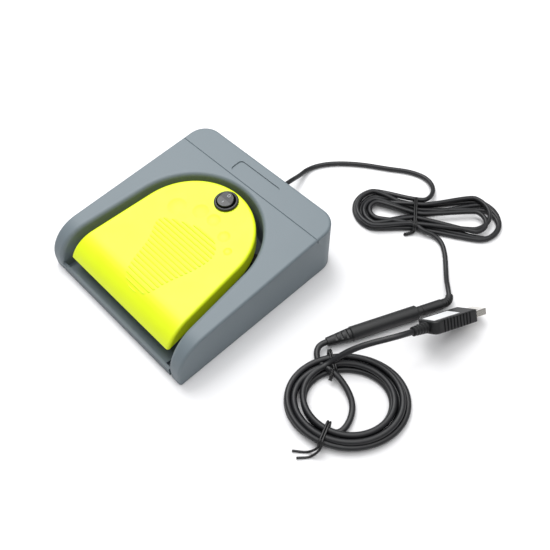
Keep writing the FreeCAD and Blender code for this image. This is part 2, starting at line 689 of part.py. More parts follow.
def spring_top():
    """Height of the flat spring seats under the pedal."""
    return pedal_under(SPRING_Y - SEAT_RADIUS) - 0.3


def pedal_shell():
    outline = horseshoe(PEDAL_RADIUS, PEDAL_Y)
    blank = pedal_profile(0, True).common(outline)
    body = blank.makeFillet(PEDAL_EDGE_RADIUS, pedal_top_edges(blank))
    hollow = pedal_profile(PEDAL_WALL, False).common(horseshoe(PEDAL_RADIUS - PEDAL_WALL, PEDAL_Y))
    inner = pedal_profile(PEDAL_WALL / 2, False).common(horseshoe(PEDAL_RADIUS - PEDAL_WALL / 2, PEDAL_Y))
    extras = [part.common(inner) for part in pedal_lugs() + pedal_underside()]
    body = fuse([body.cut(hollow)] + extras + foot_print())
    hole = on_pedal(rod((0, 0, -FAR / 2), (0, 0, 1), SWITCH_RADIUS + SLIP, FAR), 0, ROCKER_Y)
    bore = rod((-FAR / 2, HINGE_Y, HINGE_HEIGHT), (1, 0, 0), PIN_RADIUS + BUSH_WALL + RUNNING_GAP, FAR)
    return body.cut(Part.makeCompound([hole, bore]))


# ---- Hinge ------------------------------------------------------------------------------
def clip_place():
    """Inner face of each retaining clip, from the centre."""
    return EAR_OUTER + BUSH_FLANGE + 2 * SIDE_PLAY + LUG_THICKNESS


def hinge_pin():
    pin = rod((-PIN_LENGTH / 2, HINGE_Y, HINGE_HEIGHT), (1, 0, 0), PIN_RADIUS, PIN_LENGTH)
    ends = [e for e in pin.Edges if e.Curve.TypeId == "Part::GeomCircle"]
    pin = pin.makeChamfer(0.4, ends)
    start = (clip_place() - RUNNING_GAP, HINGE_Y, HINGE_HEIGHT)
    ring = rod(start, (1, 0, 0), FAR / 4, CLIP_THICKNESS + 2 * RUNNING_GAP)
    ring = ring.cut(rod(start, (1, 0, 0), PIN_RADIUS - GROOVE_DEPTH, FAR))
    return pin.cut(Part.makeCompound(both_sides(ring)))


def hinge_clips():
    start = (clip_place(), HINGE_Y, HINGE_HEIGHT)
    ring = rod(start, (1, 0, 0), PIN_RADIUS + CLIP_WIDTH, CLIP_THICKNESS)
    ring = ring.cut(rod(start, (1, 0, 0), PIN_RADIUS - GROOVE_DEPTH + RUNNING_GAP, CLIP_THICKNESS))
    mouth = PIN_RADIUS - GROOVE_DEPTH
    ring = ring.cut(box(0, FAR, HINGE_Y - mouth, HINGE_Y + mouth, 0, HINGE_HEIGHT))
    return Part.makeCompound(both_sides(ring))


def hinge_bushes():
    inner = EAR_OUTER + SIDE_PLAY
    flange = rod((inner, HINGE_Y, HINGE_HEIGHT), (1, 0, 0), PIN_RADIUS + BUSH_WALL + 1, BUSH_FLANGE)
    sleeve = rod((inner, HINGE_Y, HINGE_HEIGHT), (1, 0, 0), PIN_RADIUS + BUSH_WALL,
                 BUSH_FLANGE + LUG_THICKNESS)
    bore = rod((0, HINGE_Y, HINGE_HEIGHT), (1, 0, 0), PIN_RADIUS + RUNNING_GAP, FAR)
    return Part.makeCompound(both_sides(flange.fuse(sleeve).removeSplitter().cut(bore)))


def return_spring(side):
    bottom = BASE_TOP + SEAT_HEIGHT + SPRING_WIRE / 2 + 0.05
    top = spring_top() - SPRING_WIRE / 2 - 0.05
    height = top - bottom
    helix = Part.makeHelix(height / SPRING_TURNS, height, SPRING_RADIUS)
    circle = Part.Circle(Vector(SPRING_RADIUS, 0, 0), Vector(0, 1, 0), SPRING_WIRE / 2)
    coil = Part.Wire(helix).makePipeShell([Part.Wire(circle.toShape())], True, True)
    coil.translate(Vector(side * SPRING_X, SPRING_Y, bottom))
    return coil


# ---- Microswitch ------------------------------------------------------------------------
def lever_pivot():
    return yz(MICRO_FRONT + 2.0, MICRO_BOTTOM + MICRO_HEIGHT + 0.9)


def lever_touch():
    """Point on the lever's upper face that the pedal's post meets."""
    tilt = math.radians(LEVER_TILT)
    return lever_pivot() + yz(LEVER_REACH * math.cos(tilt), LEVER_REACH * math.sin(tilt) + 0.7)


def micro_screw_places():
    middle = MICRO_FRONT + MICRO_LENGTH / 2
    return [(middle + s * MICRO_HOLE_PITCH / 2, MICRO_BOTTOM + 2.6) for s in (-1, 1)]


def micro_bracket():
    """Upright wall on the base that carries the microswitch, with a foot rib at each end."""
    face = -MICRO_WIDTH / 2
    end = MICRO_FRONT + MICRO_LENGTH
    wall = box(face - BRACKET_THICKNESS, face, MICRO_FRONT - 1, end + 1, BASE_TOP - 1,
               MICRO_BOTTOM + MICRO_HEIGHT - 2)
    ribs = [polygon_x([(y, BASE_TOP - 1), (y + 2, BASE_TOP - 1), (y + 2, 11), (y, 11)],
                      face - BRACKET_THICKNESS - 4, face - 1) for y in (MICRO_FRONT, end - 2)]
    body = fuse([wall] + ribs)
    holes = [rod((face - FAR / 4, y, z), (1, 0, 0), MICRO_SCREW_RADIUS + SLIP / 2, FAR / 4 + 1)
             for y, z in micro_screw_places()]
    return body.cut(Part.makeCompound(holes))


def switch_body():
    half = MICRO_WIDTH / 2
    case = box(-half + SLIP / 2, half, MICRO_FRONT, MICRO_FRONT + MICRO_LENGTH, MICRO_BOTTOM,
               MICRO_BOTTOM + MICRO_HEIGHT)
    uprights = [e for e in case.Edges if abs(e.tangentAt(0).x) > 0.9]
    case = case.makeFillet(0.6, uprights)
    pivot = lever_pivot()
    cheek = box(LEVER_WIDTH / 2 + 0.6, half, pivot.y - 1.2, pivot.y + 1.2,
                MICRO_BOTTOM + MICRO_HEIGHT - 0.5, pivot.z + 1.2)
    body = fuse([case] + [c.common(box(-half + SLIP / 2, half, -FAR, FAR, 0, FAR)) for c in both_sides(cheek)])
    cuts = [rod((-FAR / 4, pivot.y, pivot.z), (1, 0, 0), 0.55, FAR / 2)]
    cuts += [rod((-FAR / 4, y, z), (1, 0, 0), MICRO_SCREW_RADIUS + SLIP, FAR / 2)
             for y, z in micro_screw_places()]
    cuts.append(rod((0, pivot.y + PLUNGER_REACH, MICRO_BOTTOM + MICRO_HEIGHT - 3), (0, 0, 1),
                    PLUNGER_RADIUS + RUNNING_GAP, FAR))
    return body.cut(Part.makeCompound(cuts))


def switch_lever():
    """Sheet lever with a rolled pivot, tipped up at rest."""
    strip = box(-LEVER_WIDTH / 2, LEVER_WIDTH / 2, 0, LEVER_REACH + 1.5, 0.2, 0.2 + LEVER_THICKNESS)
    barrel = rod((-LEVER_WIDTH / 2 - 0.5, 0, 0), (1, 0, 0), 0.7, LEVER_WIDTH + 1)
    pin = rod((-MICRO_WIDTH / 2 + 0.2, 0, 0), (1, 0, 0), 0.5, MICRO_WIDTH - 0.4)
    lever = fuse([strip, barrel, pin])
    pivot = lever_pivot()
    return tilted(lever, pivot.y, pivot.z, LEVER_TILT)


def switch_plunger():
    pivot = lever_pivot()
    y = pivot.y + PLUNGER_REACH
    under = pivot.z + PLUNGER_REACH * math.tan(math.radians(LEVER_TILT)) + 0.2
    top = under - PLUNGER_RADIUS * math.tan(math.radians(LEVER_TILT)) - TOUCH_GAP / 2
    bottom = MICRO_BOTTOM + MICRO_HEIGHT - 1.9
    pin = rod((0, y, bottom), (0, 0, 1), PLUNGER_RADIUS, top - bottom)
    return pin.makeFillet(0.3, [e for e in pin.Edges if e.CenterOfMass.z > top - 0.01])


def micro_blade_places():
    return [MICRO_FRONT + 2.5, MICRO_FRONT + 11.5, MICRO_FRONT + 17.3]


def switch_terminals():
    blades = [box(-1.6, 1.6, y - 0.25, y + 0.25, MICRO_BOTTOM - 4.0, MICRO_BOTTOM)
              for y in micro_blade_places()]
    return Part.makeCompound(blades)


def switch_screws():
    face = MICRO_WIDTH / 2
    screws = []
    for y, z in micro_screw_places():
        head = rod((face, y, z), (1, 0, 0), 2.0, 1.2)
        shank = rod((face - MICRO_WIDTH - BRACKET_THICKNESS, y, z), (1, 0, 0), MICRO_SCREW_RADIUS,
                    MICRO_WIDTH + BRACKET_THICKNESS)
        slot = box(face + 0.6, face + 2, y - 2.5, y + 2.5, z - 0.3, z + 0.3)
        screws.append(head.fuse(shank).removeSplitter().cut(slot))
    return Part.makeCompound(screws)


# ---- Rocker in the pedal ----------------------------------------------------------------
def rocker_housing():
    flange = rod((0, 0, 0), (0, 0, 1), BEZEL_RADIUS, BEZEL_HEIGHT)
    rim = [e for e in flange.Edges if e.Curve.TypeId == "Part::GeomCircle" and e.CenterOfMass.z > 0.5]
    flange = flange.makeFillet(1.0, rim)
    barrel = rod((0, 0, -SWITCH_DEPTH), (0, 0, 1), SWITCH_RADIUS, SWITCH_DEPTH + 0.5)
    cup = rod((0, 0, -CUP_DEPTH), (0, 0, 1), CUP_RADIUS, FAR)
    mouth = cone((0, 0, BEZEL_HEIGHT - 0.7), (0, 0, 1), CUP_RADIUS, CUP_RADIUS + 0.8, 0.8)
    axle = rod((-SWITCH_RADIUS + 0.4, 0, -BUTTON_PIVOT_DEPTH), (1, 0, 0),
               BUTTON_AXLE_RADIUS + RUNNING_GAP, 2 * SWITCH_RADIUS - 0.8)
    body = flange.fuse(barrel).removeSplitter().cut(Part.makeCompound([cup, mouth, axle]))
    return on_pedal(body, 0, ROCKER_Y)


def rocker_button():
    """Round button, dished to a shallow V, with its axle; its rear half is up at rest."""
    height = BUTTON_RISE + BUTTON_PIVOT_DEPTH
    post = rod((0, 0, -1.6), (0, 0, 1), BUTTON_RADIUS, height + 1.6)
    valley = [(-FAR / 4, height + 2), (-BUTTON_RADIUS, height), (0, height - BUTTON_DISH),
              (BUTTON_RADIUS, height), (FAR / 4, height + 2)]
    head = post.cut(polygon_x(valley, -FAR / 4, FAR / 4))
    rim = [e for e in head.Edges if e.CenterOfMass.z > height - BUTTON_DISH
           and abs(e.CenterOfMass.y) > BUTTON_RADIUS / 3]
    head = head.makeFillet(0.5, rim)
    axle = rod((-SWITCH_RADIUS + 0.6, 0, 0), (1, 0, 0), BUTTON_AXLE_RADIUS, 2 * SWITCH_RADIUS - 1.2)
    body = head.fuse(axle).removeSplitter()
    body.Placement = Placement(Vector(0, 0, -BUTTON_PIVOT_DEPTH), Rotation(Vector(1, 0, 0), BUTTON_TILT))
    return on_pedal(body, 0, ROCKER_Y)


def rocker_terminals():
    blade = box(BLADE_SPREAD - BLADE_WIDTH / 2, BLADE_SPREAD + BLADE_WIDTH / 2, -BLADE_THICKNESS / 2,
                BLADE_THICKNESS / 2, -SWITCH_DEPTH - BLADE_LENGTH, -SWITCH_DEPTH)
    return Part.makeCompound([on_pedal(b, 0, ROCKER_Y) for b in both_sides(blade)])


# ---- Electronics ------------------------------------------------------------------------
def board_hole_places():
    x0, y0 = BOARD_CORNER_X, BOARD_FRONT
    length, width, _ = BOARD_SIZE
    return [(x0 + 3, y0 + width - 3), (x0 + length - 4, y0 + width - 3)]


def board_posts():
    x0, y0 = BOARD_CORNER_X, BOARD_FRONT
    length, _, _ = BOARD_SIZE
    places = board_hole_places() + [(x0 + 5, y0 + 3), (x0 + length - 4, y0 + 3)]
    posts = [rod((x, y, BASE_TOP - 1), (0, 0, 1), POST_RADIUS, BOARD_HEIGHT - BASE_TOP + 1)
             for x, y in places]
    holes = [rod((x, y, BASE_TOP), (0, 0, 1), 1.0 + SLIP, FAR) for x, y in board_hole_places()]
    return [post.cut(Part.makeCompound(holes)) for post in posts]


def circuit_board():
    length, width, _ = BOARD_SIZE
    board = box(BOARD_CORNER_X, BOARD_CORNER_X + length, BOARD_FRONT, BOARD_FRONT + width, BOARD_HEIGHT,
                BOARD_TOP)
    holes = [rod((x, y, 0), (0, 0, 1), 1.2, FAR) for x, y in board_hole_places()]
    corners = [e for e in board.Edges if abs(e.tangentAt(0).z) > 0.9 and e.CenterOfMass.y > BOARD_FRONT + 1]
    return board.makeFillet(2.0, corners).cut(Part.makeCompound(holes))


def board_screws():
    return Part.makeCompound([
        self_tapper(x, y, BOARD_TOP, -1, 1.0, 1.9, 1.2, 5.0) for x, y in board_hole_places()])


def controller_chip():
    x, y = BOARD_CORNER_X + 14, BOARD_FRONT + 9.5
    body = box(x - 3.5, x + 3.5, y - 3.5, y + 3.5, BOARD_TOP + 0.1, BOARD_TOP + 1.3)
    leads = []
    for i in range(-3, 4):
        leads.append(box(x + i * 0.9 - 0.2, x + i * 0.9 + 0.2, y - 4.6, y + 4.6, BOARD_TOP, BOARD_TOP + 0.25))
        leads.append(box(x - 4.6, x + 4.6, y + i * 0.9 - 0.2, y + i * 0.9 + 0.2, BOARD_TOP, BOARD_TOP + 0.25))
    return fuse([body] + leads)


def crystal_can():
    x, y = BOARD_CORNER_X + 28, BOARD_FRONT + 13
    can = box(x - 5.5, x + 5.5, y - 2.3, y + 2.3, BOARD_TOP, BOARD_TOP + 3.4)
    return can.makeFillet(2.2, [e for e in can.Edges if abs(e.tangentAt(0).z) > 0.9])


def switch_header_pins():
    """X of the four wires that enter the header's front."""
    return [BOARD_CORNER_X + 22 + 2.5 * i for i in range(4)]


def cable_header_pins():
    """Y of the four cable cores that enter the header's side."""
    return [BOARD_FRONT + 2.0 + 1.6 * i for i in range(4)]


def switch_header():
    pins = switch_header_pins()
    block = box(pins[0] - 2, pins[-1] + 2, BOARD_FRONT + 0.5, BOARD_FRONT + 6.5, BOARD_TOP,
                BOARD_TOP + HEADER_HEIGHT)
    slots = [rod((x, BOARD_FRONT, BOARD_TOP + 3), (0, 1, 0), 0.9, 1.5) for x in pins]
    return block.cut(Part.makeCompound(slots))


def header_face_x():
    return BOARD_CORNER_X + BOARD_SIZE[0] - 1.0


def cable_header():
    pins = cable_header_pins()
    face = header_face_x()
    return box(face - 7, face, pins[0] - 1.2, pins[-1] + 1.2, BOARD_TOP, BOARD_TOP + HEADER_HEIGHT)


def route_wire(points):
    """Straight runs joined by the largest tangent arcs that they allow. Gives wire and radii."""
    corners = [Vector(*p) for p in points]
    edges, radii, begin = [], [], corners[0]
    for before, corner, after in zip(corners, corners[1:], corners[2:]):
        inward, outward = (corner - before), (after - corner)
        shorter = min(inward.Length, outward.Length)
        turn = inward.getAngle(outward)
        cut = 0.45 * shorter
        radii.append(cut / math.tan(turn / 2))
        inward.normalize()
        outward.normalize()
        first, last = corner - inward * cut, corner + outward * cut
        bisector = outward - inward
        bisector.normalize()
        centre = corner + bisector * (radii[-1] / math.cos(turn / 2))
        middle = centre - bisector * radii[-1]
        edges.append(Part.LineSegment(begin, first).toShape())
        edges.append(Part.Arc(first, middle, last).toShape())
        begin = last
    edges.append(Part.LineSegment(begin, corners[-1]).toShape())
    return Part.Wire(edges), radii


def tube(points, radius, name=None):
    """Round tube along a route. A named tube prints its length, radii and volume error."""
    path, radii = route_wire(points)
    start, toward = Vector(*points[0]), Vector(*points[1]) - Vector(*points[0])
    profile = Part.Wire(Part.Circle(start, toward, radius).toShape())
    solid = path.makePipeShell([profile], True, False)
    if name:
        expected = math.pi * radius ** 2 * path.Length
        error = 100 * (solid.Volume / expected - 1)
        bends = " ".join("%.1f" % r for r in radii)
        print("%s: length %.1f mm, volume error %.2f %%, radii %s" % (name, path.Length, error, bends))
    return solid


def header_approach(x):
    """Last points of a wire that climbs to the header's front at x."""
    rise = BOARD_TOP + 3
    return [(x, BOARD_FRONT - 4.5, rise - 3.8), (x, BOARD_FRONT + 0.5, rise)]


def switch_wires():
    """Two wires from the microswitch's blades, round its bracket, to the header."""
    end = MICRO_FRONT + MICRO_LENGTH
    wires = []
    for blade, lane, pin in ((0, 1, 3), (1, 0, 2)):
        y, x = micro_blade_places()[blade], switch_header_pins()[pin]
        side = MICRO_WIDTH / 2 + 1.4 + 1.8 * lane
        shift = 2.2 * lane
        wires.append(tube([
            (1.6, y, MICRO_BOTTOM - 2.6), (side, y + 2.6, 4.3), (side + 0.2, end + 2.5 + shift, 4.2),
            (-8 + shift, end + 15.5 + shift, 4.1), (-14.6 + shift, end + 29, 4.2),
            (-17.2 + shift, end + 48, 4.15), (-26.4 + shift, end + 58.4 + shift / 2, 4.2),
            (x + 0.4, BOARD_FRONT - 9.5, 4.6)] + header_approach(x), WIRE_RADIUS))
    return Part.makeCompound(wires)


def rocker_wires():
    """Two wires from the rocker's blades to the header; they flex as the pedal moves."""
    drop = SWITCH_DEPTH + BLADE_LENGTH + 0.1
    lean = math.radians(PEDAL_SLOPE)
    y0 = ROCKER_Y + drop * math.sin(lean)
    z0 = pedal_top(ROCKER_Y) - drop * math.cos(lean)
    wires = []
    for side, pin in ((-1, 0), (1, 1)):
        x = switch_header_pins()[pin]
        lane = 2.0 * pin
        wires.append(tube([
            (side * BLADE_SPREAD, y0, z0), (side * BLADE_SPREAD - 0.5, y0 - 1.2, z0 - 5),
            (side * BLADE_SPREAD - 4, y0 - 2.5 + lane, 7.5), (-17, y0 - 3 + lane, 6.3),
            (x + 6, y0 - 1 + lane / 2, 6.1), (x + 0.5, BOARD_FRONT - 10, 6.2)] + header_approach(x),
            WIRE_RADIUS))
    return Part.makeCompound(wires)


# ---- Cable entry ------------------------------------------------------------------------
def clamp_y():
    return REAR_Y - CLAMP_FROM_REAR


def clamp_screw_x():
    return LEAD_RADIUS + 4.5


def clamp_posts():
    post = rod((clamp_screw_x(), clamp_y(), BASE_TOP - 1), (0, 0, 1), 3.0,
               EXIT_HEIGHT + LEAD_RADIUS - BASE_TOP + 1)
    hole = rod((clamp_screw_x(), clamp_y(), BASE_TOP), (0, 0, 1), 1.0 + SLIP, FAR)
    half = clamp_screw_x() - 2.0
    saddle = box(-half, half, clamp_y() - 2.5, clamp_y() + 2.5, BASE_TOP - 1,
                 EXIT_HEIGHT - LEAD_RADIUS)
    return both_sides(post.cut(hole)) + [saddle]


def cable_clamp():
    half = clamp_screw_x() + 3.0
    z = EXIT_HEIGHT + LEAD_RADIUS
    bar = box(-half, half, clamp_y() - 2.5, clamp_y() + 2.5, z, z + 2.4)
    bar = bar.makeFillet(1.5, [e for e in bar.Edges if abs(e.tangentAt(0).z) > 0.9])
    holes = [rod((s * clamp_screw_x(), clamp_y(), 0), (0, 0, 1), 1.2, FAR) for s in (-1, 1)]
    return bar.cut(Part.makeCompound(holes))


def clamp_screws():
    z = EXIT_HEIGHT + LEAD_RADIUS + 2.4
    return Part.makeCompound([
        self_tapper(s * clamp_screw_x(), clamp_y(), z, -1, 1.0, 1.9, 1.2, 6.5) for s in (-1, 1)])


def jacket_start():
    """Where the jacket has been stripped off the cores, inside the housing."""
    return clamp_y() - 4.5


def cable_end():
    """The jacket from the stripped end, through the clamp, into the strain relief."""
    length = REAR_Y + LEAD_START - jacket_start()
    return rod((0, jacket_start(), EXIT_HEIGHT), (0, 1, 0), LEAD_RADIUS, length)


def cable_cores():
    """Four cores, one above the other, from the jacket's end to the cable header."""
    start, turn = jacket_start(), jacket_start() - 2.6
    face = header_face_x()
    cores = []
    for i, y in enumerate(cable_header_pins()):
        z = EXIT_HEIGHT + CORE_PITCH * (i - 1.5)
        cores.append(tube([(0, start, z), (0, turn, z), (face * 0.35, 0.3 * turn + 0.7 * y, z),
                           (face * 0.7, y, z), (face, y, z)], CORE_RADIUS))
    return Part.makeCompound(cores)


def ribbed_cone(length, radius_a, radius_b, ribs):
    """Tapered strain relief along +Y from the origin, with raised rings."""
    body = [cone((0, 0, 0), (0, 1, 0), radius_a, radius_b, length)]
    for i in range(ribs):
        y = length * (i + 0.5) / ribs
        radius = radius_a + (radius_b - radius_a) * y / length + 0.45
        ring = rod((0, y - 0.7, 0), (0, 1, 0), radius, 1.4)
        body.append(ring.makeFillet(0.3, ring.Edges[:1] + ring.Edges[2:3]))
    return fuse(body)


def cable_gland():
    """Strain relief snapped into the rear wall."""
    inside = rod((0, REAR_Y - SHELL_WALL - 1.4, EXIT_HEIGHT), (0, 1, 0), GLAND_FLANGE_RADIUS, 1.4)
    neck = rod((0, REAR_Y - SHELL_WALL - 0.5, EXIT_HEIGHT), (0, 1, 0), GLAND_RADIUS, SHELL_WALL + 1)
    outside = rod((0, REAR_Y, EXIT_HEIGHT), (0, 1, 0), GLAND_FLANGE_RADIUS, 1.6)
    sleeve = ribbed_cone(GLAND_SLEEVE, GLAND_RADIUS, GLAND_TIP_RADIUS, 4)
    sleeve.translate(Vector(0, REAR_Y + 1.4, EXIT_HEIGHT))
    bore = rod((0, 0, EXIT_HEIGHT), (0, 1, 0), LEAD_RADIUS + RUNNING_GAP, FAR)
    return fuse([inside, neck, outside, sleeve]).cut(bore)


# ---- Hank and coil ----------------------------------------------------------------------
def hank_axis():
    left, right = Vector(*HANK_LEFT, 0), Vector(*HANK_RIGHT, 0)
    return left, right - left


def cable_hank():
    left, along = hank_axis()
    lobes = [rod((x, y, 0), (0, 0, 1), HANK_LOBE_RADIUS, HANK_HEIGHT) for x, y in (HANK_LEFT, HANK_RIGHT)]
    edge = HANK_WAIST_SHIFT - HANK_WAIST_WIDTH / 2
    waist = box(0, along.Length, edge, edge + HANK_WAIST_WIDTH, 0, HANK_HEIGHT)
    waist.Placement = Placement(left, Rotation(Vector(0, 0, 1), math.degrees(math.atan2(along.y, along.x))))
    return fuse(lobes + [waist])


def tie_band(width, height):
    """Flat tie round a section width wide and height high, its plane across X."""
    half = TIE_WIDTH / 2
    outer = box(-half, half, -width / 2 - TIE_THICKNESS, width / 2 + TIE_THICKNESS, 0, height + TIE_THICKNESS)
    inner = box(-half, half, -width / 2, width / 2, TIE_THICKNESS / 2, height)
    corners = [e for e in outer.Edges if abs(e.tangentAt(0).x) > 0.9 and e.CenterOfMass.z > 1]
    return outer.makeFillet(TIE_THICKNESS, corners).cut(inner)


def turned(shape, x, y, degrees):
    return placed(shape, Placement(Vector(x, y, 0), Rotation(Vector(0, 0, 1), degrees)))


def hank_tie():
    left, along = hank_axis()
    place = left + along * HANK_TIE_SHARE
    band = tie_band(HANK_WAIST_WIDTH, HANK_HEIGHT)
    band.translate(Vector(0, HANK_WAIST_SHIFT, 0))
    return turned(band, place.x, place.y, math.degrees(math.atan2(along.y, along.x)))


def oval(inset, height):
    """Upright oval prism on the coil's centre."""
    ellipse = Part.Ellipse(Vector(0, 0, 0), COIL_LONG - inset, COIL_SHORT - inset)
    face = Part.Face(Part.Wire(ellipse.toShape()))
    return turned(face.extrude(Vector(0, 0, height)), *COIL_CENTRE, COIL_TURN)


def cable_coil():
    return oval(0, COIL_HEIGHT).cut(oval(COIL_RING, COIL_HEIGHT))


def coil_tie(angle):
    """Band round the coil's ring at an angle from its long axis."""
    t = math.radians(angle)
    middle = COIL_RING / 2
    local = Vector((COIL_LONG - middle) * math.cos(t), (COIL_SHORT - middle) * math.sin(t), 0)
    outward = Vector(COIL_SHORT * math.cos(t), COIL_LONG * math.sin(t), 0)
    spin = Rotation(Vector(0, 0, 1), COIL_TURN)
    place = spin.multVec(local) + Vector(*COIL_CENTRE, 0)
    facing = math.degrees(math.atan2(outward.y, outward.x)) + COIL_TURN
    return turned(tie_band(COIL_RING, COIL_HEIGHT), place.x, place.y, facing - 90)


# ---- Inline connector -------------------------------------------------------------------
def inline_place():
    return Placement(Vector(*INLINE_START, SOCKET_RADIUS), Rotation(Vector(0, 0, 1), INLINE_TURN))


def placed(shape, placement):
    moved = shape.copy()
    moved.Placement = placement.multiply(moved.Placement)
    return moved


def inline_socket():
    barrel = rod((0, 0, 0), (0, 1, 0), SOCKET_RADIUS, SOCKET_LENGTH)
    ends = [e for e in barrel.Edges if e.Curve.TypeId == "Part::GeomCircle"]
    barrel = barrel.makeChamfer(0.8, ends)
    bore = rod((0, SOCKET_LENGTH - JACK_LENGTH - 1, 0), (0, 1, 0), JACK_RADIUS + RUNNING_GAP, FAR)
    return placed(barrel.cut(bore), inline_place())


def socket_relief():
    """Tapered relief towards the coil, with three slots above and three below."""
    body = cone((0, 0, 0), (0, -1, 0), SOCKET_RADIUS - 0.4, USB_LEAD_RADIUS + 1.0, SOCKET_RELIEF)
    slots = []
    for i in range(3):
        slot = box(-FAR / 4, FAR / 4, -3.6 - 3.8 * i, -2.0 - 3.8 * i, USB_LEAD_RADIUS + 0.5, FAR / 4)
        slots += [slot, slot.mirror(Vector(0, 0, 0), Vector(0, 0, 1))]
    return placed(body.cut(Part.makeCompound(slots)), inline_place())


def inline_plug():
    y0 = SOCKET_LENGTH + 0.1
    collar = rod((0, y0, 0), (0, 1, 0), PLUG_RADIUS, 3.0)
    neck = rod((0, y0 + 2.5, 0), (0, 1, 0), PLUG_RADIUS - 0.5, 1.5)
    grip = rod((0, y0 + 3.5, 0), (0, 1, 0), PLUG_RADIUS, PLUG_LENGTH - 3.5)
    ends = [e for e in grip.Edges if e.Curve.TypeId == "Part::GeomCircle"]
    body = fuse([collar, neck, grip.makeFillet(0.5, ends)])
    return placed(body.cut(rod((0, y0 - 1, 0), (0, 1, 0), JACK_RADIUS, 5.0)), inline_place())


def jack_pin():
    """Metal pin of the plug, home in the socket, with its two insulating grooves."""
    y0 = SOCKET_LENGTH - JACK_LENGTH
    pin = rod((0, y0, 0), (0, 1, 0), JACK_RADIUS, JACK_LENGTH + 4.0)
    tip = [e for e in pin.Edges if e.Curve.TypeId == "Part::GeomCircle" and e.CenterOfMass.y < y0 + 1]
    pin = pin.makeChamfer(0.8, tip)
    grooves = []
    for y in (y0 + 4.0, y0 + 7.5):
        ring = rod((0, y, 0), (0, 1, 0), JACK_RADIUS + 1, 0.6)
        grooves.append(ring.cut(rod((0, y, 0), (0, 1, 0), JACK_RADIUS - 0.15, 0.6)))
    return placed(pin.cut(Part.makeCompound(grooves)), inline_place())


def bent_frame(angle, start_y):
    """Placement at an angle round the bent relief, its +Y along the relief."""
    t = math.radians(angle)
    centre = Vector(-BENT_RELIEF_RADIUS, start_y, 0)
    spot = centre + Vector(BENT_RELIEF_RADIUS * math.cos(t), BENT_RELIEF_RADIUS * math.sin(t), 0)
    return Placement(spot, Rotation(Vector(0, 0, 1), angle))


def bent_start():
    """Y where the bent relief joins the plug, and where its bend starts."""
    y0 = SOCKET_LENGTH + PLUG_LENGTH + 0.2
    return y0, y0 + BENT_RELIEF_START


def plug_relief():
    """Ribbed relief that bends the first cable away from the plug."""
    y0, start_y = bent_start()
    core = LEAD_RADIUS + 0.7
    end = bent_frame(BENT_RELIEF_TURN, start_y).Base
    middle = bent_frame(BENT_RELIEF_TURN / 2, start_y).Base
    path = Part.Wire([
        Part.LineSegment(Vector(0, y0, 0), Vector(0, start_y, 0)).toShape(),
        Part.Arc(Vector(0, start_y, 0), middle, end).toShape(),
    ])
    profile = Part.Wire(Part.Circle(Vector(0, y0, 0), Vector(0, 1, 0), core).toShape())
    body = [path.makePipeShell([profile], True, False)]
    body.append(rod((0, y0, 0), (0, 1, 0), PLUG_RADIUS - 0.4, BENT_RELIEF_START))
    rings = 5
    for i in range(rings):
        share = (i + 0.5) / rings
        radius = PLUG_RADIUS - 0.4 - 0.7 * share
        ring = rod((0, -0.6, 0), (0, 1, 0), radius, 1.2)
        body.append(placed(ring, bent_frame(BENT_RELIEF_TURN * share, start_y)))
    return placed(fuse(body), inline_place())


# ---- USB plug ---------------------------------------------------------------------------
def usb_place():
    """From the plug's own frame, +Y along it from the cable, to where it lies."""
    turn = Rotation(Vector(0, 0, 1), USB_TURN)
    pitch = Rotation(Vector(1, 0, 0), USB_PITCH)
    roll = Rotation(Vector(0, 1, 0), USB_ROLL)
    return Placement(Vector(*USB_START), turn.multiply(pitch).multiply(roll))


def usb_relief():
    return placed(ribbed_cone(USB_RELIEF, USB_LEAD_RADIUS + 0.6, 3.4, 5), usb_place())


def usb_body():
    width, length, height = USB_BODY
    y0 = USB_RELIEF
    body = box(-width / 2, width / 2, y0, y0 + length, -height / 2, height / 2)
    plan = [e for e in body.Edges if abs(e.tangentAt(0).z) > 0.9 and e.CenterOfMass.y < y0 + 1]
    body = body.makeFillet(4.0, plan)
    long_edges = [e for e in body.Edges if abs(e.CenterOfMass.z) > height / 2 - 0.01
                  and e.CenterOfMass.y < y0 + length - 0.5]
    body = body.makeFillet(USB_BODY_EDGE, long_edges)
    cuts = [box(-USB_SHELL[0] / 2 - RUNNING_GAP, USB_SHELL[0] / 2 + RUNNING_GAP,
                y0 + length - USB_SHELL_ROOT, FAR, -USB_SHELL[2] / 2 - RUNNING_GAP,
                USB_SHELL[2] / 2 + RUNNING_GAP)]
    for i in range(USB_RIBS):
        y = y0 + length - 6.5 - USB_RIB_PITCH * i
        for x in (-width / 2, width / 2):
            cuts.append(box(x - 0.6, x + 0.6, y - 0.6, y + 0.6, -FAR / 4, FAR / 4))
    return placed(body.cut(Part.makeCompound(cuts)), usb_place())


def usb_shell():
    width, length, height = USB_SHELL
    y0 = USB_RELIEF + USB_BODY[1] - USB_SHELL_ROOT
    outer = box(-width / 2, width / 2, y0, y0 + USB_SHELL_ROOT + length, -height / 2, height / 2)
    outer = outer.makeFillet(0.4, [e for e in outer.Edges if abs(e.tangentAt(0).y) > 0.9])
    w = USB_SHELL_WALL
    inner = box(-width / 2 + w, width / 2 - w, y0 + 1, FAR, -height / 2 + w, height / 2 - w)
    cuts = [inner]
    window_y = y0 + USB_SHELL_ROOT + length - 6.6
    for x in (-2.9, 2.9):
        cuts.append(box(x - 1.25, x + 1.25, window_y - 1.2, window_y + 1.2, -FAR / 4, FAR / 4))
    return placed(outer.cut(Part.makeCompound(cuts)), usb_place())


def tongue_space():
    """X half width, front end, bottom and top of the plastic tongue."""
    y1 = USB_RELIEF + USB_BODY[1] + USB_SHELL[1] - 0.8
    bottom = -USB_SHELL[2] / 2 + USB_SHELL_WALL + 0.05
    return USB_SHELL[0] / 2 - USB_SHELL_WALL - 0.05, y1, bottom, bottom + 1.8


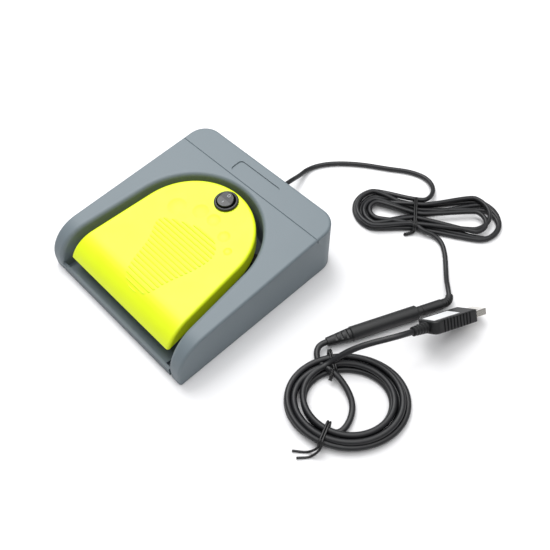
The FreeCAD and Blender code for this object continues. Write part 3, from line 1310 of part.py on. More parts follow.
def usb_tongue():
    half, y1, z0, z1 = tongue_space()
    y0 = USB_RELIEF + USB_BODY[1] - USB_SHELL_ROOT + 1.1
    return placed(box(-half, half, y0, y1, z0, z1), usb_place())


def usb_contacts():
    _, y1, _, z1 = tongue_space()
    strips = [box(x - 0.5, x + 0.5, y1 - 8.5, y1 - 0.6, z1, z1 + 0.15) for x in (-3.5, -1.0, 1.0, 3.5)]
    return placed(Part.makeCompound(strips), usb_place())


def usb_label():
    width, length, thickness = USB_LABEL
    y0 = USB_RELIEF + 2.4
    top = USB_BODY[2] / 2
    return placed(box(-width / 2, width / 2, y0, y0 + length, top, top + thickness), usb_place())


# ---- Free tubes -------------------------------------------------------------------------
def placed_points(placement, points):
    return [tuple(placement.multVec(Vector(*p))) for p in points]


def cable_lead():
    return tube([(0, REAR_Y + LEAD_START, EXIT_HEIGHT)] + LEAD_ROUTE, LEAD_RADIUS, "cable_lead")


def cable_drop():
    outlet = inline_place().multiply(bent_frame(BENT_RELIEF_TURN, bent_start()[1]))
    tail = placed_points(outlet, [(0, LEAD_IN, 0), (0, 0, 0)])
    return tube(DROP_ROUTE + tail, LEAD_RADIUS, "cable_drop")


def cable_to_coil():
    head = placed_points(inline_place(), [(0, -SOCKET_RELIEF, 0), (0, -SOCKET_RELIEF - SOCKET_LEAD_IN, 0)])
    return tube(head + TO_COIL_ROUTE, USB_LEAD_RADIUS, "cable_to_coil")


def cable_to_usb():
    tail = placed_points(usb_place(), [(0, -LEAD_IN, 0), (0, 0, 0)])
    return tube(TO_USB_ROUTE + tail, USB_LEAD_RADIUS, "cable_to_usb")


NODES = {
    "top_housing": top_housing,
    "base_plate": base_plate,
    "rubber_feet": rubber_feet,
    "base_screws": base_screws,
    "stop_bumpers": stop_bumpers,
    "hinge_pin": hinge_pin,
    "hinge_clips": hinge_clips,
    "hinge_bushes": hinge_bushes,
    "pedal_shell": pedal_shell,
    "return_spring_left": lambda: return_spring(-1),
    "return_spring_right": lambda: return_spring(1),
    "rocker_housing": rocker_housing,
    "rocker_button": rocker_button,
    "rocker_terminals": rocker_terminals,
    "switch_body": switch_body,
    "switch_lever": switch_lever,
    "switch_plunger": switch_plunger,
    "switch_terminals": switch_terminals,
    "switch_screws": switch_screws,
    "circuit_board": circuit_board,
    "board_screws": board_screws,
    "controller_chip": controller_chip,
    "crystal_can": crystal_can,
    "switch_header": switch_header,
    "cable_header": cable_header,
    "switch_wires": switch_wires,
    "rocker_wires": rocker_wires,
    "cable_clamp": cable_clamp,
    "clamp_screws": clamp_screws,
    "cable_end": cable_end,
    "cable_cores": cable_cores,
    "cable_gland": cable_gland,
    "cable_lead": cable_lead,
    "cable_hank": cable_hank,
    "hank_tie": hank_tie,
    "cable_drop": cable_drop,
    "plug_relief": plug_relief,
    "inline_plug": inline_plug,
    "jack_pin": jack_pin,
    "inline_socket": inline_socket,
    "socket_relief": socket_relief,
    "cable_to_coil": cable_to_coil,
    "cable_coil": cable_coil,
    "coil_tie_front": lambda: coil_tie(COIL_TIES[1]),
    "coil_tie_rear": lambda: coil_tie(COIL_TIES[0]),
    "cable_to_usb": cable_to_usb,
    "usb_relief": usb_relief,
    "usb_body": usb_body,
    "usb_shell": usb_shell,
    "usb_tongue": usb_tongue,
    "usb_contacts": usb_contacts,
    "usb_label": usb_label,
}

os.makedirs("parts", exist_ok=True)
for node, make in NODES.items():
    shape = make()
    if not shape.isValid() or not shape.Solids:
        raise RuntimeError("%s is not a valid solid" % node)
    shape.exportStep("parts/%s.step" % node)
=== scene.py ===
"""Foot pedal switch with its USB lead: cables, ties, finishes, floor, light and camera.

Lengths in the classes are millimetres unless a name says otherwise; every mesh is built in metres.
"""

from __future__ import annotations

import logging
import math
from dataclasses import dataclass
from enum import Enum
from typing import Iterable, Sequence

import bpy
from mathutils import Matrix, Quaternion, Vector
from mathutils.bvhtree import BVHTree

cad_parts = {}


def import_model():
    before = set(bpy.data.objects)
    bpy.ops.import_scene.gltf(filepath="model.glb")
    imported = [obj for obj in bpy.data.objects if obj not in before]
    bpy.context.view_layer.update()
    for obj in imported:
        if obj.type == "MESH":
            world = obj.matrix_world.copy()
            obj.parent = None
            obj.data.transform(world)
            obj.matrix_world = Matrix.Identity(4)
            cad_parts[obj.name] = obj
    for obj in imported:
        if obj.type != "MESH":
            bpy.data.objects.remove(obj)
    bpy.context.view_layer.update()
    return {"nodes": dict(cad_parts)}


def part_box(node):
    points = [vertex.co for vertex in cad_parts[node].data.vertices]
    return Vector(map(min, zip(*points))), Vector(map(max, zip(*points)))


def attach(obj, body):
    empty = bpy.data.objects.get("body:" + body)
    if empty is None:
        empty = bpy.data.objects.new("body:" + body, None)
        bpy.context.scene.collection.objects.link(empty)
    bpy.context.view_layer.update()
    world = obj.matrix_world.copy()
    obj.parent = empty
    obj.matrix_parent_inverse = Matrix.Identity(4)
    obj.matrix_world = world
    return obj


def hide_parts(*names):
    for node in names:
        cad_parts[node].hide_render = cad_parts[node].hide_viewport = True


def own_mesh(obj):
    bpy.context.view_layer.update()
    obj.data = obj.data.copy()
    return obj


LOG = logging.getLogger("foot_pedal")
MM = 0.001
DROP_FROM = 0.2  # metres above the floor, over everything, where a dropped point starts

Point = tuple[float, float, float]
Colour = tuple[float, float, float, float]


# ---- Small helpers ------------------------------------------------------------------------
def linear(hex_colour: str) -> Colour:
    """Turn an sRGB hex colour into linear values.

    Args:
        hex_colour: Six hex digits after a hash sign.

    Returns:
        Linear red, green, blue and an alpha of 1.
    """
    parts = [int(hex_colour[i : i + 2], 16) / 255 for i in (1, 3, 5)]
    red, green, blue = (c / 12.92 if c <= 0.04045 else ((c + 0.055) / 1.055) ** 2.4 for c in parts)
    return (red, green, blue, 1.0)


def metres(points: Iterable[Point]) -> list[Vector]:
    """Millimetre points as vectors in metres."""
    return [Vector(p) * MM for p in points]


def add_node(
    tree: bpy.types.NodeTree,
    kind: str,
    inputs: dict[str | int, object] | None = None,
    links: dict[str | int, bpy.types.NodeSocket] | None = None,
    **settings: object,
) -> bpy.types.Node:
    """Add one shader node with its settings, values and links.

    Args:
        tree: The node tree that gets the node.
        kind: The node's bl_idname.
        inputs: Values for input sockets, by name or index.
        links: Output sockets to join to input sockets, by name or index.
        settings: Properties of the node itself.

    Returns:
        The new node.
    """
    node = tree.nodes.new(kind)
    for key, value in settings.items():
        setattr(node, key, value)
    for key, value in (inputs or {}).items():
        node.inputs[key].default_value = value
    for key, source in (links or {}).items():
        tree.links.new(source, node.inputs[key])
    return node


def link_object(obj: bpy.types.Object) -> bpy.types.Object:
    """Put an object in the scene and give it back."""
    bpy.context.scene.collection.objects.link(obj)
    return obj


def mesh_object(name: str, verts: list[Vector], faces: list[tuple[int, ...]]) -> bpy.types.Object:
    """Make a smooth-shaded mesh object.

    Args:
        name: Name of the object and its mesh.
        verts: Vertices in metres.
        faces: Faces as vertex indices.

    Returns:
        The linked object.
    """
    mesh = bpy.data.meshes.new(name)
    mesh.from_pydata([tuple(v) for v in verts], [], faces)
    mesh.validate()
    mesh.shade_smooth()
    return link_object(bpy.data.objects.new(name, mesh))


def sweep(
    name: str, line: Sequence[Vector], radius: float, closed: bool = False, sides: int = 12
) -> bpy.types.Object:
    """Sweep a round section along a line.

    Args:
        name: Name of the piece.
        line: Points in metres.
        radius: Radius of the section in metres.
        closed: Whether the line joins up with itself.
        sides: Corners of the section.

    Returns:
        The tube, with flat ends where it is open.
    """
    count = len(line)
    verts: list[Vector] = []
    normal: Vector | None = None
    for i, here in enumerate(line):
        after = line[(i + 1) % count] if closed or i + 1 < count else here
        before = line[i - 1] if closed or i > 0 else here
        along = (after - before).normalized()
        if normal is None:
            normal = along.orthogonal().normalized()
        normal = (normal - along * normal.dot(along)).normalized()
        side = along.cross(normal)
        for k in range(sides):
            turn = math.tau * k / sides
            verts.append(here + (normal * math.cos(turn) + side * math.sin(turn)) * radius)
    faces: list[tuple[int, ...]] = []
    for i in range(count if closed else count - 1):
        a, b = i * sides, ((i + 1) % count) * sides
        faces += [(a + k, a + (k + 1) % sides, b + (k + 1) % sides, b + k) for k in range(sides)]
    if not closed:
        last = (count - 1) * sides
        faces += [tuple(reversed(range(sides))), tuple(range(last, last + sides))]
    return mesh_object(name, verts, faces)


def smooth_line(points: Iterable[Point], pieces: int = 10) -> list[Vector]:
    """Round a route of a few points into a smooth line.

    Args:
        points: The route in millimetres.
        pieces: Short steps between two of its points.

    Returns:
        Points in metres along a Catmull-Rom line.
    """
    route = metres(points)
    padded = [route[0] * 2 - route[1], *route, route[-1] * 2 - route[-2]]
    line: list[Vector] = []
    for a, b, c, d in zip(padded, padded[1:], padded[2:], padded[3:]):
        for i in range(pieces):
            t = i / pieces
            square, cube = a * 2 - b * 5 + c * 4 - d, b * 3 - a - c * 3 + d
            line.append((b * 2 + (c - a) * t + square * t**2 + cube * t**3) / 2)
    line.append(route[-1])
    return line


def surface_point(tree: BVHTree, x: float, y: float) -> tuple[Vector, Vector]:
    """Drop a point on a surface from above.

    Args:
        tree: The surface.
        x: Place along X in metres.
        y: Place along Y in metres.

    Returns:
        The point and the surface's normal there.
    """
    place, normal, _, _ = tree.ray_cast(Vector((x, y, DROP_FROM)), Vector((0, 0, -1)))
    if place is None:
        raise ValueError(f"nothing lies under {x:.4f}, {y:.4f}")
    return place, normal


# ---- Finishes -----------------------------------------------------------------------------
class Skin(Enum):
    """How a surface was made."""

    SPARK_ERODED = "fine spark-eroded mould texture"
    POLISHED = "polished mould"
    EXTRUDED = "extruded jacket"
    ROLLED = "rolled or drawn, with fine lines"
    PLATED = "plated"


@dataclass(frozen=True)
class Finish:
    """One finish: a common material and how its surface was made.

    Attributes:
        name: Material name, for the real stuff.
        base: Main colour, sRGB.
        second: Colour of the slight mottling, sRGB.
        skin: How the surface was made.
        roughness: Middle value of the roughness.
        grain: Size of the surface texture.
        depth: Depth of the surface texture.
        mottle: Size of the colour patches.
        ior: Index of refraction; metals keep the default.
        metallic: 1 for bare metal.
    """

    name: str
    base: str
    second: str
    skin: Skin
    roughness: float
    grain: float = 0.6
    depth: float = 0.03
    mottle: float = 18.0
    ior: float = 1.5
    metallic: float = 0.0

    def build(self) -> bpy.types.Material:
        """Make the node material.

        Returns:
            A material that uses object coordinates, which are the part's own millimetres.
        """
        material = bpy.data.materials.new(self.name)
        material.use_nodes = True
        material.diffuse_color = linear(self.base)
        tree = material.node_tree
        tree.nodes.clear()
        place = add_node(tree, "ShaderNodeTexCoord").outputs["Object"]
        stretch = (1.0, 0.06, 1.0) if self.skin is Skin.ROLLED else (1.0, 1.0, 1.0)
        laid = add_node(tree, "ShaderNodeMapping", {"Scale": stretch}, {"Vector": place}).outputs["Vector"]
        patches = add_node(
            tree,
            "ShaderNodeTexNoise",
            {"Scale": 1 / (self.mottle * MM), "Detail": 4.0, "Roughness": 0.55},
            {"Vector": place},
        ).outputs["Fac"]
        colour = add_node(
            tree,
            "ShaderNodeMix",
            {"A": linear(self.base), "B": linear(self.second)},
            {"Factor": patches},
            data_type="RGBA",
        ).outputs["Result"]
        grain = add_node(
            tree,
            "ShaderNodeTexNoise",
            {"Scale": 1 / (self.grain * MM), "Detail": 3.0, "Roughness": 0.6},
            {"Vector": laid},
        ).outputs["Fac"]
        rough = add_node(
            tree,
            "ShaderNodeMapRange",
            {"To Min": self.roughness * 0.88, "To Max": min(1.0, self.roughness * 1.12)},
            {"Value": grain if self.skin is Skin.ROLLED else patches},
        ).outputs["Result"]
        bump = add_node(
            tree,
            "ShaderNodeBump",
            {"Strength": 0.6 if self.skin is Skin.SPARK_ERODED else 0.3, "Distance": self.depth * MM},
            {"Height": grain},
        ).outputs["Normal"]
        values: dict[str | int, object] = {"Metallic": self.metallic}
        if not self.metallic:
            values["IOR"] = self.ior
        shader = add_node(
            tree,
            "ShaderNodeBsdfPrincipled",
            values,
            {"Base Color": colour, "Roughness": rough, "Normal": bump},
        )
        add_node(tree, "ShaderNodeOutputMaterial", links={"Surface": shader.outputs["BSDF"]})
        return material


@dataclass(frozen=True)
class SolderMask(Finish):
    """Green solder resist over etched copper, which shows as slightly paler tracks.

    Attributes:
        track: Width of a track.
        track_colour: Colour over the copper, sRGB.
    """

    track: float = 1.6
    track_colour: str = "#3F8F52"

    def build(self) -> bpy.types.Material:
        """Make the finish with a maze of tracks.

        Returns:
            The material.
        """
        material = super().build()
        tree = material.node_tree
        shader = next(n for n in tree.nodes if n.bl_idname == "ShaderNodeBsdfPrincipled")
        under = shader.inputs["Base Color"].links[0].from_socket
        place = add_node(tree, "ShaderNodeTexCoord").outputs["Object"]
        cells = add_node(
            tree,
            "ShaderNodeTexVoronoi",
            {"Scale": 1 / (self.track * 2 * MM)},
            {"Vector": place},
            distance="MANHATTAN",
            feature="F1",
        ).outputs["Distance"]
        tracks = add_node(
            tree, "ShaderNodeMapRange", {"From Min": 0.42, "From Max": 0.5}, {"Value": cells}
        ).outputs["Result"]
        colour = add_node(
            tree,
            "ShaderNodeMix",
            {"B": linear(self.track_colour)},
            {"Factor": tracks, "A": under},
            data_type="RGBA",
        ).outputs["Result"]
        tree.links.new(colour, shader.inputs["Base Color"])
        return material


# ABS shell with a dry, even mould texture: soft highlights, no gloss.
GREY_ABS = Finish("Grey ABS", "#68747B", "#6F7A80", Skin.SPARK_ERODED, 0.52, 0.7, 0.03, ior=1.53)
# The tray is the same ABS in a deeper shade.
DARK_GREY_ABS = Finish("Dark grey ABS", "#525D63", "#57636A", Skin.SPARK_ERODED, 0.55, 0.7, 0.03, ior=1.53)
# The same ABS in a bright lime pigment.
LIME_ABS = Finish("Lime ABS", "#DDF000", "#E4F516", Skin.SPARK_ERODED, 0.46, 0.6, 0.02, ior=1.53)
# Soft PVC: a dull black sheen with very fine drag lines.
PVC_JACKET = Finish("PVC cable jacket", "#0F1013", "#15161A", Skin.EXTRUDED, 0.46, 0.5, 0.015, 9.0, 1.53)
PVC_MOULDING = Finish("Overmoulded PVC", "#101113", "#17181A", Skin.SPARK_ERODED, 0.5, 0.5, 0.03, 9.0, 1.53)
PVC_TIE = Finish("PVC-coated tie wire", "#0B0B0D", "#111113", Skin.EXTRUDED, 0.4, 0.5, 0.02, 6.0, 1.53)
NBR_RUBBER = Finish("NBR rubber", "#1C1C1C", "#262626", Skin.SPARK_ERODED, 0.8, 0.8, 0.05, 8.0, 1.52)
SWITCH_NYLON = Finish("Black nylon 66", "#0E0F11", "#151619", Skin.SPARK_ERODED, 0.48, 0.5, 0.02, 6.0, 1.53)
GLOSS_BLACK = Finish("Gloss black nylon", "#121317", "#17181C", Skin.POLISHED, 0.32, 0.9, 0.01, 6.0, 1.53)
PAD_PRINT = Finish("Pale pad print", "#C9CCD0", "#BFC3C7", Skin.POLISHED, 0.4, 0.5, 0.01, 4.0, 1.5)
NATURAL_NYLON = Finish("Natural nylon 66", "#E6E1D3", "#DDD6C4", Skin.POLISHED, 0.4, 0.9, 0.02, 8.0, 1.53)
RED_PLUNGER = Finish("Red acetal", "#B32624", "#A81F1E", Skin.POLISHED, 0.35, 0.6, 0.01, 4.0, 1.48)
RED_PVC = Finish("Red PVC insulation", "#C22A26", "#B4211F", Skin.EXTRUDED, 0.38, 0.5, 0.01, 6.0, 1.53)
WHITE_PVC = Finish("White PVC insulation", "#E4E3DE", "#D8D7D0", Skin.EXTRUDED, 0.38, 0.5, 0.01, 6.0, 1.53)
GREEN_PVC = Finish("Green PVC insulation", "#2B8A3E", "#237A35", Skin.EXTRUDED, 0.38, 0.5, 0.01, 6.0, 1.53)
EPOXY_CHIP = Finish("Moulded epoxy", "#1E1F20", "#28292A", Skin.SPARK_ERODED, 0.6, 0.3, 0.01, 3.0, 1.55)
SOLDER_MASK = SolderMask("Green solder mask", "#12552B", "#165F31", Skin.POLISHED, 0.3, 0.8, 0.02, 6.0, 1.52)
LABEL_FILM = Finish("White vinyl label", "#ECEDEE", "#E2E4E6", Skin.POLISHED, 0.35, 1.2, 0.01, 10.0, 1.5)
ZINC_STEEL = Finish(
    "Zinc-plated steel", "#C5C6C2", "#B7B8B4", Skin.PLATED, 0.32, 0.4, 0.01, 4.0, metallic=1.0
)
GROUND_STEEL = Finish(
    "Ground steel", "#C9C9C9", "#BDBDBD", Skin.ROLLED, 0.24, 0.12, 0.01, 6.0, metallic=1.0
)
SPRING_STEEL = Finish(
    "Spring steel", "#A9A8A4", "#9C9B97", Skin.ROLLED, 0.3, 0.12, 0.01, 5.0, metallic=1.0
)
TINNED_BRASS = Finish("Tinned brass", "#D2CBB4", "#C6BD9F", Skin.PLATED, 0.3, 0.3, 0.01, 4.0, metallic=1.0)
NICKEL = Finish("Nickel plate", "#DAD7D0", "#D0CDC6", Skin.PLATED, 0.18, 0.6, 0.005, 6.0, metallic=1.0)
GOLD = Finish("Gold flash", "#E6BE62", "#DDB257", Skin.PLATED, 0.2, 0.3, 0.005, 3.0, metallic=1.0)

BACKDROP_PAPER = Finish(
    "White backdrop paper", "#F4F4F5", "#F1F1F3", Skin.EXTRUDED, 0.9, 2.0, 0.0, 300.0, 1.3
)

NODE_FINISH: dict[str, Finish] = {
    "top_housing": GREY_ABS,
    "base_plate": DARK_GREY_ABS,
    "rubber_feet": NBR_RUBBER,
    "base_screws": ZINC_STEEL,
    "stop_bumpers": NBR_RUBBER,
    "hinge_pin": GROUND_STEEL,
    "hinge_clips": SPRING_STEEL,
    "hinge_bushes": NATURAL_NYLON,
    "pedal_shell": LIME_ABS,
    "return_spring_left": SPRING_STEEL,
    "return_spring_right": SPRING_STEEL,
    "rocker_housing": SWITCH_NYLON,
    "rocker_button": GLOSS_BLACK,
    "rocker_terminals": TINNED_BRASS,
    "switch_body": SWITCH_NYLON,
    "switch_lever": SPRING_STEEL,
    "switch_plunger": RED_PLUNGER,
    "switch_terminals": TINNED_BRASS,
    "switch_screws": ZINC_STEEL,
    "circuit_board": SOLDER_MASK,
    "board_screws": ZINC_STEEL,
    "controller_chip": EPOXY_CHIP,
    "crystal_can": NICKEL,
    "switch_header": NATURAL_NYLON,
    "cable_header": NATURAL_NYLON,
    "switch_wires": RED_PVC,
    "rocker_wires": WHITE_PVC,
    "cable_clamp": NATURAL_NYLON,
    "clamp_screws": ZINC_STEEL,
    "cable_end": PVC_JACKET,
    "cable_cores": GREEN_PVC,
    "cable_gland": PVC_MOULDING,
    "plug_relief": PVC_MOULDING,
    "inline_plug": PVC_MOULDING,
    "jack_pin": NICKEL,
    "inline_socket": PVC_MOULDING,
    "socket_relief": PVC_MOULDING,
    "usb_relief": PVC_MOULDING,
    "usb_body": PVC_MOULDING,
    "usb_shell": NICKEL,
    "usb_tongue": NATURAL_NYLON,
    "usb_contacts": GOLD,
    "usb_label": LABEL_FILM,
}


class Wardrobe:
    """Builds each finish once and puts it on pieces."""

    def __init__(self) -> None:
        """Start with nothing built."""
        self._built: dict[str, bpy.types.Material] = {}

    def material(self, finish: Finish) -> bpy.types.Material:
        """The material of a finish, built the first time it is asked for."""
        if finish.name not in self._built:
            self._built[finish.name] = finish.build()
        return self._built[finish.name]

    def dress(self, obj: bpy.types.Object, finish: Finish) -> bpy.types.Object:
        """Give a piece one finish all over.

        Args:
            obj: The piece.
            finish: Its finish.

        Returns:
            The same piece.
        """
        obj.data.materials.clear()
        obj.data.materials.append(self.material(finish))
        return obj


# ---- Cables -------------------------------------------------------------------------------
@dataclass
class Cable:
    """A round cable that follows one smooth spline.

    Attributes:
        name: Name of the piece.
        diameter: Outside diameter.
    """

    name: str
    diameter: float

    def route(self) -> list[Point]:
        """Control points of the spline, in millimetres."""
        raise NotImplementedError

    def build(self) -> bpy.types.Object:
        """Make the cable as one NURBS curve with a round bevel.

        Returns:
            The curve object.
        """
        curve = bpy.data.curves.new(self.name, "CURVE")
        curve.dimensions = "3D"
        curve.resolution_u = 6
        curve.bevel_depth = self.diameter / 2 * MM
        curve.bevel_resolution = 5
        curve.use_fill_caps = True
        points = metres(self.route())
        spline = curve.splines.new("NURBS")
        spline.points.add(len(points) - 1)
        for slot, place in zip(spline.points, points):
            slot.co = (*place, 1.0)
        spline.order_u = 3
        spline.use_endpoint_u = True
        return link_object(bpy.data.objects.new(self.name, curve))


@dataclass(frozen=True)
class HankLap:
    """One turn of the hank.

    Attributes:
        left: Radius round the left lobe.
        left_shift: How far that arc's centre lies across the hank.
        near: Place across the waist on the way out.
        right: Radius round the right lobe.
        right_shift: How far that arc's centre lies along and across the hank.
        back: Place across the waist on the way back.
        height: Height of the turn's centreline.
    """

    left: float
    left_shift: float
    near: float
    right: float
    right_shift: tuple[float, float]
    back: float
    height: float


@dataclass
class HousingCable(Cable):
    """First cable: from the housing, through a tied hank, to the inline plug.

    Attributes:
        left_lobe: Centre of the hank's left end, on the floor.
        right_lobe: Centre of its right end.
        out: Route from inside the gland to the hank.
        drop: Route from the hank to the inline plug.
        laps: The hank's turns.
        last_left: Radius of the last half turn.
        last_shift: How far that arc's centre lies across the hank.
        upper: Height of the upper layer's centreline.
        left_sweep: First and last angle of the arcs round the left lobe, in degrees.
        right_sweep: The same for the right lobe.
        out_shares: Places of the waist points on the way out, as shares of the hank's span.
        back_shares: The same on the way back.
        leave: Place of the last point, as a share of the span, and across the hank.
    """

    name: str = "housing_cable"
    diameter: float = 3.5
    left_lobe: tuple[float, float] = (62.3, 129.0)
    right_lobe: tuple[float, float] = (116.5, 170.0)
    out: tuple[Point, ...] = (
        (0.0, 80.0, 12.0),
        (0.0, 94.0, 12.0),
        (-3.2, 108.0, 5.4),
        (-6.0, 121.0, 1.95),
        (-0.5, 134.0, 1.85),
        (10.7, 146.5, 1.85),
        (23.8, 156.8, 1.85),
        (38.8, 166.0, 1.85),
        (52.7, 176.0, 1.85),
        (67.0, 179.6, 2.2),
        (78.0, 173.2, 3.6),
        (82.4, 163.2, 5.2),
        (80.6, 154.2, 6.0),
    )
    drop: tuple[Point, ...] = (
        (91.5, 134.0, 5.0),
        (98.5, 133.6, 4.6),
        (106.5, 137.6, 2.9),
        (114.6, 136.2, 1.95),
        (122.6, 129.2, 1.85),
        (130.4, 119.8, 1.95),
        (137.0, 111.4, 3.0),
        (141.4, 106.4, 5.0),
        (147.05, 100.74, 5.0),
    )
    laps: tuple[HankLap, ...] = (
        HankLap(20.0, 0.0, -14.6, 19.8, (0.0, 0.0), 8.6, 1.9),
        HankLap(15.2, -1.4, -11.0, 14.6, (4.6, -3.2), 4.4, 1.9),
        HankLap(18.2, -1.6, -12.8, 16.6, (-4.2, 3.4), 6.6, 5.4),
        HankLap(10.6, -2.6, -3.4, 18.2, (1.8, -1.2), 0.4, 1.9),
        HankLap(12.8, -4.4, -7.2, 10.4, (-1.0, -4.6), -2.6, 5.4),
    )
    last_left: float = 8.6
    last_shift: float = -3.4
    upper: float = 5.4
    left_sweep: tuple[float, float] = (105, 258)
    right_sweep: tuple[float, float] = (-80, 78)
    out_shares: tuple[float, float] = (0.3, 0.44)
    back_shares: tuple[float, float] = (0.5, 0.37)
    leave: tuple[float, float] = (0.22, -12.0)

    def local(self, along: float, across: float, height: float) -> Point:
        """A place in the hank: along it from the left lobe, across it, and above the floor."""
        (x0, y0), (x1, y1) = self.left_lobe, self.right_lobe
        span = math.hypot(x1 - x0, y1 - y0)
        ux, uy = (x1 - x0) / span, (y1 - y0) / span
        return (x0 + ux * along - uy * across, y0 + uy * along + ux * across, height)

    def arc(
        self, centre: tuple[float, float], radius: float, start: float, end: float, height: float
    ) -> list[Point]:
        """Points round one lobe.

        Args:
            centre: The arc's centre along and across the hank.
            radius: Radius of the turn.
            start: First angle in degrees.
            end: Last angle in degrees.
            height: Height of the centreline.

        Returns:
            Points about 20 degrees apart.
        """
        steps = 8
        made = []
        for i in range(steps + 1):
            turn = math.radians(start + (end - start) * i / steps)
            along, across = centre[0] + radius * math.cos(turn), centre[1] + radius * math.sin(turn)
            made.append(self.local(along, across, height))
        return made

    def route(self) -> list[Point]:
        """The lead, the hank's turns one after another, and the drop to the inline plug."""
        (x0, y0), (x1, y1) = self.left_lobe, self.right_lobe
        span = math.hypot(x1 - x0, y1 - y0)
        points = list(self.out)
        for lap in self.laps:
            push, lift = lap.right_shift
            points += self.arc((0, lap.left_shift), lap.left, *self.left_sweep, lap.height)
            points += [self.local(span * share, lap.near, lap.height) for share in self.out_shares]
            points += self.arc((span + push, lift), lap.right, *self.right_sweep, lap.height)
            points += [self.local(span * share, lap.back, lap.height) for share in self.back_shares]
        points += self.arc((0, self.last_shift), self.last_left, *self.left_sweep, self.upper)
        points.append(self.local(span * self.leave[0], self.leave[1], self.upper))
        return points + list(self.drop)


@dataclass(frozen=True)
class CoilStation:
    """A place on the coil's winding.

    Attributes:
        turned: Degrees wound so far.
        inset: Distance in from the coil's outline.
        height: Height of the centreline.
    """

    turned: float
    inset: float
    height: float


@dataclass
class UsbCable(Cable):
    """Second cable: from the inline socket, through a tied coil, to the USB plug.

    Attributes:
        centre: Middle of the coil's oval.
        facing: Direction of its long axis, in degrees.
        long_half: Half of the oval's length.
        short_half: Half of its width.
        head: Route from the inline socket to the first turn.
        tail: Route from the last turn to the USB plug.
        first_angle: Angle on the oval where the winding starts.
        stations: How far in and how high the winding lies as it goes round.
        step: Degrees between two points of the winding.
    """

    name: str = "usb_cable"
    diameter: float = 4.0
    centre: tuple[float, float] = (149.6, -5.5)
    facing: float = 46.0
    long_half: float = 40.0
    short_half: float = 33.8
    head: tuple[Point, ...] = (
        (113.4, 14.72, 5.0),
        (111.8, 11.1, 5.0),
        (112.4, 6.6, 4.7),
        (116.0, 2.4, 4.4),
        (120.6, 0.1, 4.4),
        (131.4, 1.6, 6.6),
        (144.2, 0.2, 4.2),
        (154.6, -5.0, 2.8),
        (160.4, -14.4, 2.3),
        (161.6, -24.0, 2.5),
    )
    tail: tuple[Point, ...] = (
        (125.3, 2.6, 6.2),
        (128.7, 9.4, 12.5),
        (133.2, 17.1, 18.0),
        (139.2, 25.2, 22.5),
        (145.6, 33.5, 25.6),
        (150.9, 41.58, 27.44),
        (152.9, 48.9, 24.9),
    )
    first_angle: float = 246.0
    stations: tuple[CoilStation, ...] = (
        CoilStation(0, 11.0, 2.1),
        CoilStation(55, 12.9, 2.1),
        CoilStation(145, 12.2, 2.1),
        CoilStation(235, 11.9, 2.1),
        CoilStation(325, 9.4, 2.1),
        CoilStation(415, 6.4, 2.1),
        CoilStation(505, 7.8, 2.1),
        CoilStation(595, 7.0, 2.1),
        CoilStation(685, 4.6, 2.1),
        CoilStation(775, 2.2, 2.1),
        CoilStation(865, 2.6, 2.1),
        CoilStation(955, 1.6, 2.1),
        CoilStation(1045, 1.9, 3.6),
        CoilStation(1135, 2.4, 6.1),
        CoilStation(1225, 4.6, 6.1),
        CoilStation(1315, 5.6, 6.1),
        CoilStation(1405, 4.4, 6.1),
        CoilStation(1495, 6.4, 6.1),
        CoilStation(1585, 9.6, 6.1),
        CoilStation(1675, 11.0, 6.1),
        CoilStation(1765, 8.6, 6.4),
        CoilStation(1855, 12.6, 6.1),
        CoilStation(1935, 9.6, 6.4),
    )
    step: float = 17.0

    def wound(self, turned: float) -> Point:
        """The winding's centreline after so many degrees, clockwise from above."""
        stations = self.stations
        after = next((i for i, s in enumerate(stations) if s.turned >= turned), len(stations) - 1)
        low, high = stations[max(after - 1, 0)], stations[after]
        share = (turned - low.turned) / max(high.turned - low.turned, 1e-9)
        share = share * share * (3 - 2 * share)
        inset = low.inset + (high.inset - low.inset) * share
        height = low.height + (high.height - low.height) * share
        angle = math.radians(self.first_angle - turned)
        x = (self.long_half - inset) * math.cos(angle)
        y = (self.short_half - inset) * math.sin(angle)
        c, s = math.cos(math.radians(self.facing)), math.sin(math.radians(self.facing))
        return (self.centre[0] + x * c - y * s, self.centre[1] + x * s + y * c, height)

    def route(self) -> list[Point]:
        """The head, the coil's turns, and the rise to the USB plug."""
        last = self.stations[-1].turned
        count = int(last / self.step)
        winding = [self.wound(last * i / count) for i in range(count)]
        return [*self.head, *winding, *self.tail]


